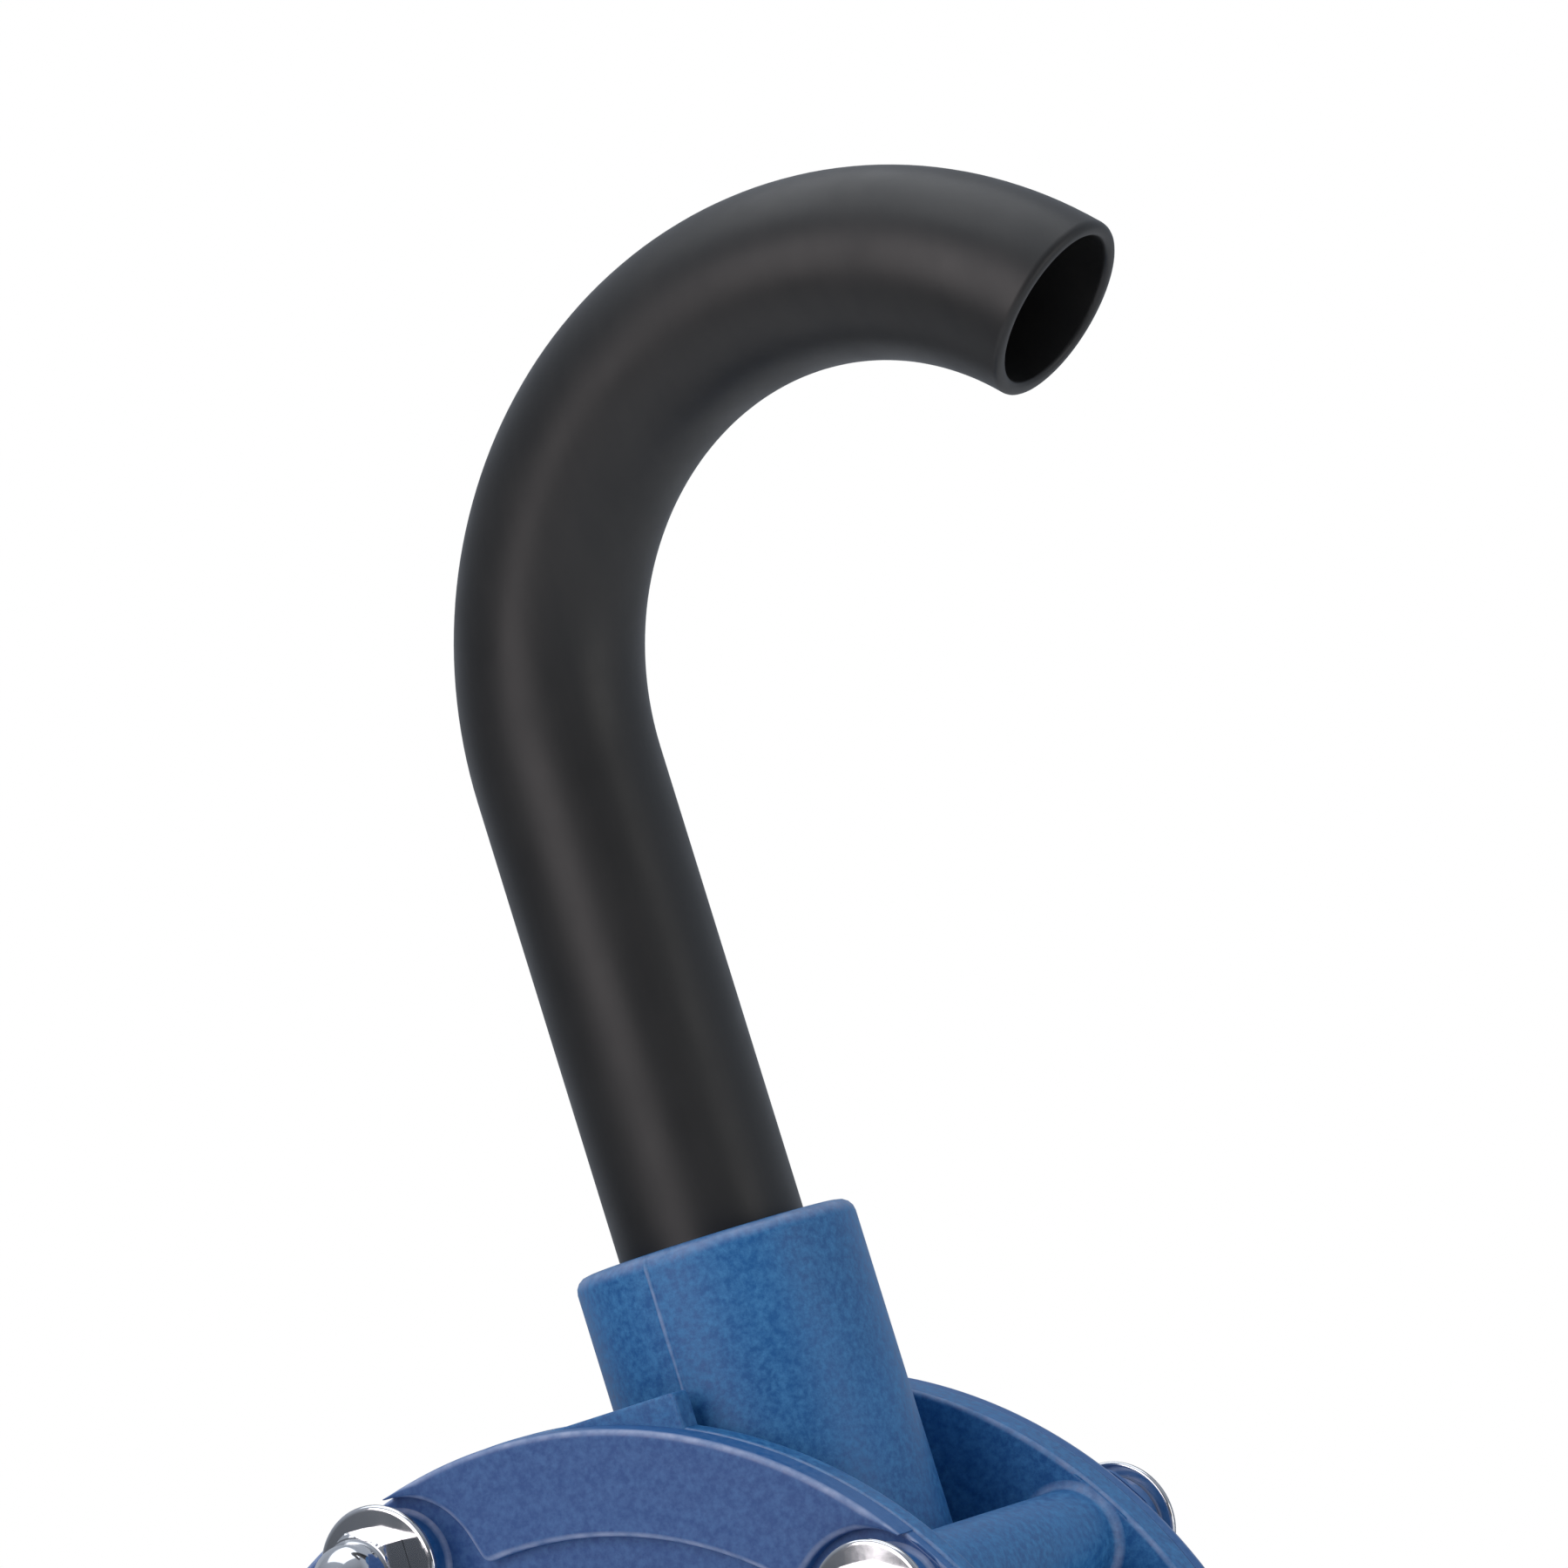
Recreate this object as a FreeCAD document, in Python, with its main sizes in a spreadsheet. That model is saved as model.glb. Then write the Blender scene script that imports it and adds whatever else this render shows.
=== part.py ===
import FreeCAD, Part
import Sketcher
import math
import os
import re

# Hand rotary vane pump: a round casing between two bolted covers, an outlet socket with a hooked
# spout, an inlet socket in a drum bung adapter, a telescopic suction tube and a crank with a grip.
# The origin is on the ports' common axis, at the bung adapter's sealing plane.  +Z is up, and the
# crank faces -Y.  All lengths are in millimetres and all angles in degrees.

doc = FreeCAD.newDocument("RotaryPump")
sizes = doc.addObject("Spreadsheet::Sheet", "Sizes")

DRIVING = {
    # How far a cutting tool runs past the face that it enters or leaves.
    "overrun": 1,
    # Casing: the body's two flanges and the pumping chamber between them.
    "casing_gap": 56,
    "flange_margin": 28.6,
    "front_flange": 5,
    "rear_flange": 6.5,
    "chamber_radius": 54,
    "chamber_wall": 6,
    "chamber_shift": 6,
    "port_inset": 23,
    "casing_lift": 30.4,
    "web_depth": 30,
    "web_inset": 0.7,
    "web_end": 3,
    # Covers.
    "cover_inset": 0.2,
    "front_plate": 2.5,
    "rear_plate": 5,
    "plateau_width": 17.8,
    "plateau_height": 3,
    "edge_chamfer": 1.2,
    "rear_rim_chamfer": 2.5,
    "spigot_play": 0.1,
    "trench_half_width": 14.6,
    "trench_inset": 3.8,
    "hub_wall": 6,
    "rear_hub_length": 12,
    "rear_hub_wall": 5.5,
    "rib_width": 4,
    "rib_height": 3,
    "rib_end_gap": 8,
    # Cover seals: round rings in grooves that are a little wider and deeper.
    "seal_inset": 9.7,
    "seal_section": 1.5,
    "groove_play": 0.1,
    # Bolts round the casing.
    "bolt_edge": 10.6,
    "first_bolt": 35.4,
    "column_radius": 8.8,
    "front_boss_proud": 4.5,
    "rear_boss_proud": 5.5,
    "bolt_radius": 4,
    "bolt_play": 0.25,
    "thread_play": 0.02,
    "washer_radius": 11,
    "washer_thickness": 1.6,
    "nut_across_flats": 13,
    "nut_hex_height": 6.5,
    "nut_dome_radius": 6,
    "nut_collar": 2.5,
    "nut_thread_depth": 11,
    "bolt_head_height": 5.3,
    "bolt_end_gap": 1,
    # Ports.
    "socket_wall": 8.17,
    "socket_proud": 22.4,
    "socket_bore_depth": 30,
    "socket_rim": 2.5,
    "passage_radius": 13.5,
    "passage_start": 20,
    "tube_radius": 16,
    "tube_wall": 2.5,
    "tube_play": 0.08,
    "port_seal_section": 1,
    "port_seal_inset": 12,
    # Spout.
    "spout_straight": 81,
    "spout_bend_radius": 65,
    "spout_bend_angle": 137,
    "end_play": 0.2,
    # Shaft, bearings and seal.
    "shaft_radius": 8,
    "bush_wall": 4,
    "bush_wall_play": 0.02,
    "running_play": 0.05,
    "bush_end_play": 0.3,
    "shaft_seal_step": 2,
    "shaft_seal_length": 6.5,
    "gland_wall": 5,
    "gland_length": 15,
    "gland_end_wall": 3,
    "gland_end_gap": 0.5,
    "gland_to_arm": 2.5,
    "gland_play": 0.1,
    "gland_hole_play": 0.6,
    # Rotor, vanes, springs and key.
    "rotor_gap": 0.5,
    "rotor_side_play": 0.1,
    "slot_width": 6.2,
    "slot_root": 9,
    "vane_thickness": 6,
    "vane_width": 26,
    "vane_tip_inset": 0.1,
    "spring_radius": 2.6,
    "spring_wire": 0.6,
    "spring_spacing": 32,
    "spring_play": 0.1,
    "key_width": 5,
    "key_length": 30,
    "key_depth": 2.7,
    "key_height": 5,
    "key_play": 0.05,
    # Crank.
    "nut_to_arm": 2.9,
    "arm_thickness": 8,
    "arm_width": 22,
    "arm_boss_wall": 7,
    "crank_reach": 26.4,
    "square_side": 11,
    "square_play": 0.05,
    "crank_stud_radius": 5,
    "crank_washer_radius": 11,
    "crank_washer_thickness": 2,
    "crank_nut_across_flats": 17,
    "crank_nut_height": 8,
    "stud_proud": 2.5,
    # Grip and its pin.
    "grip_pin_radius": 5,
    "grip_play": 0.08,
    "grip_length": 86,
    "grip_gap": 1.5,
    "grip_end_radius": 12,
    "grip_middle_radius": 16,
    "pin_head_radius": 8,
    "pin_head_height": 3,
    "pin_nut_height": 5,
    # Bung adapter.
    "adapter_wall": 10.75,
    "adapter_base": 2,
    "adapter_top": 20,
    "adapter_cup_play": 0.1,
    "adapter_bore_play": 0.3,
    "neck_radius": 28.5,
    "bung_thread_radius": 29.8,
    "bung_thread_length": 20,
    "gasket_radius": 36,
    "gasket_play": 0.2,
    "inlet_end": 6,
    # Suction tube.
    "upper_tube_end": 235,
    "telescopic_play": 0.3,
    "lower_tube_wall": 2.2,
    "lower_tube_top": 45,
    "lower_tube_end": 262,
    "collar_wall": 5,
    "collar_overlap": 20,
    "collar_length": 30,
    "collar_play": 0.08,
    "collar_seal_section": 1,
    # Strainer.
    "strainer_wall": 3.8,
    "strainer_overlap": 12,
    "strainer_length": 35,
    "strainer_floor": 3,
    "strainer_play": 0.05,
    "strainer_slot_width": 4,
    "strainer_slot_height": 15,
}

# Stations and centres that follow from the driving sizes.  Stations along the crank's axis are
# written as y, and stations along the ports' axis as z.
DERIVED = {
    "crank_x": "port_inset - chamber_radius",
    "chamber_x": "crank_x - chamber_shift",
    "flange_radius": "chamber_radius + chamber_shift + flange_margin",
    "crank_height": "flange_radius + casing_lift",
    "cover_radius": "flange_radius - cover_inset",
    "plateau_inner": "cover_radius - plateau_width",
    "bolt_circle": "flange_radius - bolt_edge",
    "trench_circle": "bolt_circle - trench_inset",
    "web_top": "crank_height + flange_radius - web_inset",
    "web_bottom": "crank_height - flange_radius + web_inset",
    "seal_half_groove": "port_seal_section + groove_play",
    "seal_radius": "chamber_radius + seal_inset",
    "bush_radius": "shaft_radius + bush_wall",
    "shaft_seal_radius": "bush_radius + shaft_seal_step",
    "hub_radius": "shaft_seal_radius + hub_wall",
    "rotor_radius": "chamber_radius - chamber_shift - rotor_gap",
    "slot_bottom": "shaft_radius + slot_root",
    "key_bottom": "shaft_radius - key_depth",
    "crank_radius": "flange_radius + crank_reach",
    "arm_boss_radius": "shaft_radius + arm_boss_wall",
    "front_gap_face": "-casing_gap / 2",
    "front_flange_face": "front_gap_face - front_flange",
    "front_floor": "front_flange_face - front_plate",
    "front_plateau": "front_floor - plateau_height",
    "front_boss_face": "front_plateau - front_boss_proud",
    "front_washer_face": "front_boss_face - washer_thickness",
    "nut_tip": "front_washer_face - nut_hex_height - nut_collar - nut_dome_radius",
    "arm_back": "nut_tip - nut_to_arm",
    "gland_face": "arm_back + gland_to_arm",
    "front_hub_face": "gland_face + gland_end_wall + gland_end_gap",
    "rear_gap_face": "casing_gap / 2",
    "rear_flange_face": "rear_gap_face + rear_flange",
    "rear_cover_face": "rear_flange_face + rear_plate",
    "rear_boss_face": "rear_cover_face + rear_boss_proud",
    "rear_washer_face": "rear_boss_face + washer_thickness",
    "rear_hub_face": "rear_cover_face + rear_hub_length",
    "groove_depth": "2 * seal_section + groove_play",
    "outlet_end": "crank_height + flange_radius + socket_proud",
    "outlet_shoulder": "outlet_end - socket_bore_depth",
    "inlet_shoulder": "inlet_end + socket_bore_depth",
    "socket_bore": "tube_radius + tube_play",
    "socket_radius": "socket_bore + socket_wall",
    "adapter_across_flats": "2 * (socket_radius + adapter_wall)",
    "lower_tube_radius": "tube_radius - tube_wall - telescopic_play",
    "collar_radius": "tube_radius + collar_wall",
    "strainer_radius": "lower_tube_radius + strainer_wall",
    "port_seal_ring": "socket_bore + port_seal_section",
    "front_seal_face": "front_hub_face + shaft_seal_length",
    "rear_pocket_end": "rear_hub_face - rear_hub_wall",
    "gland_back": "gland_face + gland_length",
    "gland_bore": "hub_radius + gland_play",
    "half_rotor": "casing_gap / 2 - rotor_side_play",
    "arm_front": "arm_back - arm_thickness",
    "crank_washer_face": "arm_front - crank_washer_thickness",
    "crank_nut_face": "crank_washer_face - crank_nut_height",
    "grip_inner": "arm_front - grip_gap",
    "grip_outer": "grip_inner - grip_length",
    "pin_head_back": "grip_outer - grip_gap",
    "pin_z": "crank_height - crank_radius",
    "collar_top": "-upper_tube_end + collar_overlap",
    "collar_bottom": "collar_top - collar_length",
    "strainer_top": "-lower_tube_end + strainer_overlap",
    "strainer_bottom": "strainer_top - strainer_length",
}

for row, (alias, value) in enumerate(DRIVING.items(), start=1):
    sizes.set(f"A{row}", alias)
    sizes.set(f"B{row}", str(value))
    sizes.setAlias(f"B{row}", alias)
doc.recompute()

START_DISTANCE = 10
START_RADIUS = 5
BOLT_COUNT = 5
VANE_COUNT = 4
FIRST_VANE = 45
STRAINER_SLOTS = 8
# Edges closer than this to the top of the body lie on the outlet's rim.
SAME_HEIGHT = 0.01
ALONG = {
    "X": FreeCAD.Rotation(FreeCAD.Vector(0, 1, 0), 90),
    "Y": FreeCAD.Rotation(FreeCAD.Vector(1, 0, 0), -90),
    "Z": FreeCAD.Rotation(),
}
CRANK = ("crank_x", "0", "crank_height")
CHAMBER = ("chamber_x", "0", "crank_height")
PORTS = ("0", "0", "0")
PORT_SEALS = {
    "outlet": "outlet_end - port_seal_inset",
    "inlet": "inlet_end + port_seal_inset",
}
subparts = []


def bind(text):
    """Spell out a formula of size names as references to the spreadsheet's cells."""
    def spelled(match):
        word = match.group(0)
        if word in DRIVING:
            return "Sizes." + word
        if word in DERIVED:
            return "(" + bind(DERIVED[word]) + ")"
        return word
    return re.sub(r"[a-z][a-z_]*", spelled, str(text))


def place(piece, centre, axis, station):
    """Put a piece's own Z along a row axis through a centre, with its base at a station."""
    coordinates = list(centre)
    letter = "XYZ".index(axis)
    coordinates[letter] = f"({coordinates[letter]}) + ({station})"
    piece.Placement = FreeCAD.Placement(FreeCAD.Vector(), ALONG[axis])
    for name, text in zip("xyz", coordinates):
        piece.setExpression(f"Placement.Base.{name}", bind(text))
    return piece


def rod(name, radius, low, high, axis, centre):
    """A round bar between two stations."""
    piece = doc.addObject("Part::Cylinder", name)
    piece.setExpression("Radius", bind(radius))
    piece.setExpression("Height", bind(f"({high}) - ({low})"))
    return place(piece, centre, axis, low)


def hexagon(name, across_flats, low, high, axis, centre):
    """A hexagonal bar between two stations."""
    piece = doc.addObject("Part::Prism", name)
    piece.Polygon = 6
    piece.setExpression("Circumradius", bind(f"({across_flats}) / 2 / cos(30)"))
    piece.setExpression("Height", bind(f"({high}) - ({low})"))
    return place(piece, centre, axis, low)


def block(name, low, high):
    """A box between two corners."""
    piece = doc.addObject("Part::Box", name)
    for side, start, end in zip(("Length", "Width", "Height"), low, high):
        piece.setExpression(side, bind(f"({end}) - ({start})"))
    for letter, start in zip("xyz", low):
        piece.setExpression(f"Placement.Base.{letter}", bind(start))
    return piece


def ring(name, ring_radius, section, axis, centre, station):
    """A round sealing ring."""
    piece = doc.addObject("Part::Torus", name)
    piece.setExpression("Radius1", bind(ring_radius))
    piece.setExpression("Radius2", bind(section))
    return place(piece, centre, axis, station)


def ball(name, radius, axis, centre, station):
    """A sphere."""
    piece = doc.addObject("Part::Sphere", name)
    piece.setExpression("Radius", bind(radius))
    return place(piece, centre, axis, station)


def fuse(name, pieces):
    """Join overlapping pieces into one solid."""
    piece = doc.addObject("Part::MultiFuse", name)
    piece.Shapes = pieces
    piece.Refine = True
    return piece


def cut(name, base, tools):
    """Take the tools away from a base."""
    piece = doc.addObject("Part::Cut", name)
    piece.Base = base
    piece.Tool = tools[0] if len(tools) == 1 else fuse(name + "_tools", tools)
    piece.Refine = True
    return piece


def turned(name, outline, axis, centre):
    """A body turned from a closed outline of (radius, station) corners."""
    body = doc.addObject("PartDesign::Body", name)
    sketch = body.newObject("Sketcher::SketchObject", name + "_outline")
    planes = {feature.Role: feature for feature in body.Origin.OriginFeatures}
    sketch.AttachmentSupport = (planes["XZ_Plane"], "")
    sketch.MapMode = "FlatFace"
    count = len(outline)
    # The corners start on a small circle beside the axis, and the constraints carry them home.
    start = [FreeCAD.Vector(START_DISTANCE + START_RADIUS * math.cos(2 * math.pi * corner / count),
                            START_RADIUS * math.sin(2 * math.pi * corner / count), 0)
             for corner in range(count)]
    for corner in range(count):
        sketch.addGeometry(Part.LineSegment(start[corner], start[(corner + 1) % count]), False)
    for corner in range(count):
        sketch.addConstraint(Sketcher.Constraint("Coincident", corner, 2, (corner + 1) % count, 1))
    for corner, (radius, station) in enumerate(outline):
        across = sketch.addConstraint(
            Sketcher.Constraint("DistanceX", -1, 1, corner, 1, start[corner].x))
        sketch.setExpression(f"Constraints[{across}]", bind(radius))
        along = sketch.addConstraint(
            Sketcher.Constraint("DistanceY", -1, 1, corner, 1, start[corner].y))
        sketch.setExpression(f"Constraints[{along}]", bind(station))
    turn = body.newObject("PartDesign::Revolution", name + "_turn")
    turn.Profile = sketch
    turn.ReferenceAxis = (sketch, ["V_Axis"])
    turn.Angle = 360
    return place(body, centre, axis, "0")


def around(centre, radius, angle):
    """A centre on a circle round an axis along Y."""
    x, y, z = centre
    return (f"({x}) + ({radius}) * cos({angle})", y, f"({z}) + ({radius}) * sin({angle})")


def keep(label, piece):
    """Name a finished sub-part."""
    piece.Label = label
    subparts.append(piece)
    return piece


BOLT_ANGLES = [f"first_bolt + {360 // BOLT_COUNT * number}" for number in range(BOLT_COUNT)]
BOLTS = [around(CRANK, "bolt_circle", angle) for angle in BOLT_ANGLES]


def radial_block(name, angle, start, end, width, low, high):
    """A flat block that points away from the crank's axis at an angle above +X, between two stations."""
    piece = doc.addObject("Part::Box", name)
    piece.setExpression("Length", bind(f"({end}) - ({start})"))
    piece.setExpression("Width", bind(f"({high}) - ({low})"))
    piece.setExpression("Height", bind(width))
    corner = around(CRANK, start, angle)
    piece.setExpression("Placement.Base.x", bind(f"{corner[0]} + ({width}) / 2 * sin({angle})"))
    piece.setExpression("Placement.Base.y", bind(low))
    piece.setExpression("Placement.Base.z", bind(f"{corner[2]} - ({width}) / 2 * cos({angle})"))
    piece.setExpression("Placement.Rotation.Axis.x", "0")
    piece.setExpression("Placement.Rotation.Axis.y", "-1")
    piece.setExpression("Placement.Rotation.Axis.z", "0")
    piece.setExpression("Placement.Rotation.Angle", bind(angle))
    return piece


def trenches(name):
    """The recesses round the front bolts, open towards the middle of the cover."""
    tools = []
    for number, angle in enumerate(BOLT_ANGLES):
        tools.append(rod(f"{name}_end_{number}", "trench_half_width", "front_boss_face", "front_floor",
                         "Y", around(CRANK, "trench_circle", angle)))
        tools.append(radial_block(f"{name}_slot_{number}", angle, "plateau_inner - trench_half_width",
                                  "trench_circle", "2 * trench_half_width", "front_boss_face",
                                  "front_floor"))
    return tools


def make_pump_body():
    """Barrel, flanges, bolt columns and the upright port tube, moulded in one piece."""
    walls = [
        rod("barrel", "chamber_radius + chamber_wall", "front_flange_face", "rear_flange_face",
            "Y", CHAMBER),
        rod("body_front_flange", "flange_radius", "front_flange_face", "front_gap_face", "Y", CRANK),
        rod("body_rear_flange", "flange_radius", "rear_gap_face", "rear_flange_face", "Y", CRANK),
        rod("port_tube", "socket_radius", "inlet_end", "outlet_end", "Z", PORTS),
        block("top_web", ("crank_x", "front_flange_face", "web_top - web_depth"),
              ("web_end", "front_gap_face", "web_top")),
        block("bottom_web", ("crank_x", "front_flange_face", "web_bottom"),
              ("web_end", "front_gap_face", "web_bottom + web_depth")),
    ]
    for number, centre in enumerate(BOLTS):
        walls.append(rod(f"column_{number}", "column_radius", "front_gap_face", "rear_gap_face",
                         "Y", centre))
    hollows = [
        rod("chamber", "chamber_radius", "front_flange_face - overrun", "rear_flange_face + overrun",
            "Y", CHAMBER),
        rod("outlet_passage", "passage_radius", "crank_height + passage_start", "outlet_shoulder",
            "Z", PORTS),
        rod("inlet_passage", "passage_radius", "inlet_shoulder", "crank_height - passage_start",
            "Z", PORTS),
        rod("outlet_bore", "socket_bore", "outlet_shoulder", "outlet_end + overrun", "Z", PORTS),
        rod("inlet_bore", "socket_bore", "inlet_end - overrun", "inlet_shoulder", "Z", PORTS),
    ]
    for port, station in PORT_SEALS.items():
        hollows.append(rod(f"{port}_groove", "socket_bore + 2 * port_seal_section + groove_play",
                           f"{station} - seal_half_groove", f"{station} + seal_half_groove", "Z", PORTS))
    for face, low, high in (("front", "front_flange_face - overrun", "front_flange_face + groove_depth"),
                            ("rear", "rear_flange_face - groove_depth", "rear_flange_face + overrun")):
        outside = rod(f"{face}_groove_outside", "seal_radius + seal_section + groove_play", low, high,
                      "Y", CHAMBER)
        inside = rod(f"{face}_groove_inside", "seal_radius - seal_section - groove_play", low, high,
                     "Y", CHAMBER)
        hollows.append(cut(f"{face}_groove", outside, [inside]))
    for number, centre in enumerate(BOLTS):
        hollows.append(rod(f"body_bolt_hole_{number}", "bolt_radius + bolt_play",
                           "front_flange_face - overrun", "rear_flange_face + overrun", "Y", centre))
    body = cut("body_machined", fuse("body_walls", walls), hollows)
    doc.recompute()
    rounded = doc.addObject("Part::Fillet", "body_rounded")
    rounded.Base = body
    top = body.Shape.BoundBox.ZMax
    rims = [index for index, edge in enumerate(body.Shape.Edges, start=1)
            if edge.BoundBox.ZMin > top - SAME_HEIGHT
            and edge.BoundBox.XMax > sizes.tube_radius + sizes.tube_wall]
    rounded.Edges = [(index, sizes.socket_rim, sizes.socket_rim) for index in rims]
    return keep("pump_body", rounded)


def make_front_cover():
    """Front cover: plate, raised plateau, bolt bosses, spigot and the hub for bearing and seal."""
    plate = turned("front_plate_body", [
        ("hub_radius - overrun", "front_floor"),
        ("plateau_inner", "front_floor"),
        ("plateau_inner", "front_plateau + edge_chamfer"),
        ("plateau_inner + edge_chamfer", "front_plateau"),
        ("cover_radius - edge_chamfer", "front_plateau"),
        ("cover_radius", "front_plateau + edge_chamfer"),
        ("cover_radius", "front_flange_face"),
        ("hub_radius - overrun", "front_flange_face"),
    ], "Y", CRANK)
    walls = [
        cut("front_plate_cut", plate, trenches("trench")),
        rod("front_hub", "hub_radius", "front_hub_face", "front_gap_face", "Y", CRANK),
        rod("front_spigot", "chamber_radius - spigot_play", "front_flange_face", "front_gap_face",
            "Y", CHAMBER),
    ]
    for number, centre in enumerate(BOLTS):
        walls.append(rod(f"front_boss_{number}", "column_radius", "front_boss_face", "front_flange_face",
                         "Y", centre))
    holes = [
        rod("front_bearing_bore", "bush_radius + bush_wall_play", "front_hub_face - overrun",
            "front_gap_face + overrun", "Y", CRANK),
        rod("front_seal_bore", "shaft_seal_radius + bush_wall_play", "front_hub_face - overrun",
            "front_seal_face", "Y", CRANK),
    ]
    for number, centre in enumerate(BOLTS):
        holes.append(rod(f"front_bolt_hole_{number}", "bolt_radius + bolt_play", "front_boss_face - overrun",
                         "front_flange_face + overrun", "Y", centre))
    return keep("front_cover", cut("front_cover_cut", fuse("front_cover_walls", walls), holes))


def make_rear_cover():
    """Rear cover: plate, bolt bosses, spigot and a closed hub with a blind bearing pocket."""
    walls = [
        turned("rear_plate_body", [
            ("0", "rear_flange_face"),
            ("cover_radius", "rear_flange_face"),
            ("cover_radius", "rear_cover_face - rear_rim_chamfer"),
            ("cover_radius - rear_rim_chamfer", "rear_cover_face"),
            ("hub_radius", "rear_cover_face"),
            ("hub_radius", "rear_hub_face - edge_chamfer"),
            ("hub_radius - edge_chamfer", "rear_hub_face"),
            ("0", "rear_hub_face"),
        ], "Y", CRANK),
        rod("rear_spigot", "chamber_radius - spigot_play", "rear_gap_face", "rear_flange_face",
            "Y", CHAMBER),
    ]
    for number, centre in enumerate(BOLTS):
        walls.append(rod(f"rear_boss_{number}", "column_radius", "rear_flange_face", "rear_boss_face",
                         "Y", centre))
        walls.append(radial_block(f"rear_rib_{number}", f"{BOLT_ANGLES[number]} + {180 // BOLT_COUNT}",
                                  "hub_radius - overrun", "cover_radius - rib_end_gap", "rib_width",
                                  "rear_cover_face - overrun", "rear_cover_face + rib_height"))
    holes = [rod("rear_bearing_pocket", "bush_radius + bush_wall_play", "rear_gap_face - overrun",
                 "rear_pocket_end", "Y", CRANK)]
    for number, centre in enumerate(BOLTS):
        holes.append(rod(f"rear_bolt_hole_{number}", "bolt_radius + bolt_play", "rear_flange_face - overrun",
                         "rear_boss_face + overrun", "Y", centre))
    return keep("rear_cover", cut("rear_cover_cut", fuse("rear_cover_walls", walls), holes))


def make_cover_seals():
    """Sealing rings in the grooves of the body's two faces."""
    inset = "seal_section + groove_play / 2"
    stations = {"front": f"front_flange_face + {inset}", "rear": f"rear_flange_face - ({inset})"}
    for face, station in stations.items():
        keep(f"{face}_cover_seal", ring(f"{face}_seal_ring", "seal_radius", "seal_section", "Y", CHAMBER,
                                        station))


def washer(name, radius, hole, low, high, centre):
    """A flat ring along Y."""
    return turned(name, [(hole, low), (radius, low), (radius, high), (hole, high)], "Y", centre)


def make_cover_fasteners():
    """Bolts through the columns, with a washer at each end and a cap nut in front."""
    groups = {"cover_bolts": [], "front_washers": [], "rear_washers": [], "cap_nuts": []}
    hole = "bolt_radius + bolt_play"
    hex_end = "front_washer_face - nut_hex_height"
    dome_start = f"{hex_end} - nut_collar"
    shank_end = "front_washer_face - nut_thread_depth + bolt_end_gap"
    for number, centre in enumerate(BOLTS):
        groups["front_washers"].append(washer(f"front_washer_{number}", "washer_radius", hole,
                                              "front_washer_face", "front_boss_face", centre))
        groups["rear_washers"].append(washer(f"rear_washer_{number}", "washer_radius", hole,
                                             "rear_boss_face", "rear_washer_face", centre))
        groups["cover_bolts"].append(fuse(f"bolt_{number}", [
            rod(f"bolt_shank_{number}", "bolt_radius", shank_end, "rear_washer_face + overrun", "Y", centre),
            hexagon(f"bolt_head_{number}", "nut_across_flats", "rear_washer_face",
                    "rear_washer_face + bolt_head_height", "Y", centre),
        ]))
        groups["cap_nuts"].append(cut(f"cap_nut_{number}", fuse(f"cap_nut_solid_{number}", [
            hexagon(f"cap_nut_hex_{number}", "nut_across_flats", hex_end, "front_washer_face", "Y", centre),
            rod(f"cap_nut_collar_{number}", "nut_dome_radius", dome_start, hex_end + " + overrun",
                "Y", centre),
            ball(f"cap_nut_dome_{number}", "nut_dome_radius", "Y", centre, dome_start),
        ]), [rod(f"cap_nut_thread_{number}", "bolt_radius + thread_play",
                 "front_washer_face - nut_thread_depth", "front_washer_face + overrun", "Y", centre)]))
    for label, pieces in groups.items():
        group = doc.addObject("Part::Compound", label + "_group")
        group.Links = pieces
        keep(label, group)


def make_bearings():
    """Plain bushes in the two hubs, the lip seal in front of the front one and the gland nut over it."""
    hole = "shaft_radius + running_play"
    keep("front_bush", washer("front_bush_body", "bush_radius", hole, "front_seal_face + bush_end_play",
                              "front_gap_face - bush_end_play", CRANK))
    keep("rear_bush", washer("rear_bush_body", "bush_radius", hole, "rear_gap_face + bush_end_play",
                             "rear_pocket_end - bush_end_play", CRANK))
    keep("shaft_seal", washer("shaft_seal_body", "shaft_seal_radius", hole, "front_hub_face",
                              "front_seal_face - groove_play", CRANK))
    rim = "gland_bore + gland_wall"
    keep("gland_nut", turned("gland_nut_body", [
        ("shaft_radius + gland_hole_play", "gland_face"),
        (f"{rim} - edge_chamfer", "gland_face"),
        (rim, "gland_face + edge_chamfer"),
        (rim, "gland_back"),
        ("gland_bore", "gland_back"),
        ("gland_bore", "gland_face + gland_end_wall"),
        ("shaft_radius + gland_hole_play", "gland_face + gland_end_wall"),
    ], "Y", CRANK))


def make_shaft():
    """Shaft with a square end for the crank, a threaded stud and a keyway."""
    half = "square_side / 2"
    solid = fuse("shaft_solid", [
        rod("shaft_journal", "shaft_radius", "arm_back", "rear_pocket_end - 2 * bush_end_play", "Y", CRANK),
        block("shaft_square", (f"crank_x - {half}", "arm_front", f"crank_height - {half}"),
              (f"crank_x + {half}", "arm_back + overrun", f"crank_height + {half}")),
        rod("shaft_stud", "crank_stud_radius", "crank_nut_face - stud_proud", "arm_front + overrun",
            "Y", CRANK),
    ])
    keep("shaft", cut("shaft_cut", solid, [key_space("shaft_keyway", "key_length / 2 + key_play")]))


def key_space(name, half_length):
    """The space that the key takes in the shaft and the rotor."""
    side = "key_width / 2 + key_play"
    return block(name, (f"crank_x - ({side})", f"-({half_length})", "crank_height + key_bottom - key_play"),
                 (f"crank_x + {side}", half_length, "crank_height + key_bottom + key_height + key_play"))


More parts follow.
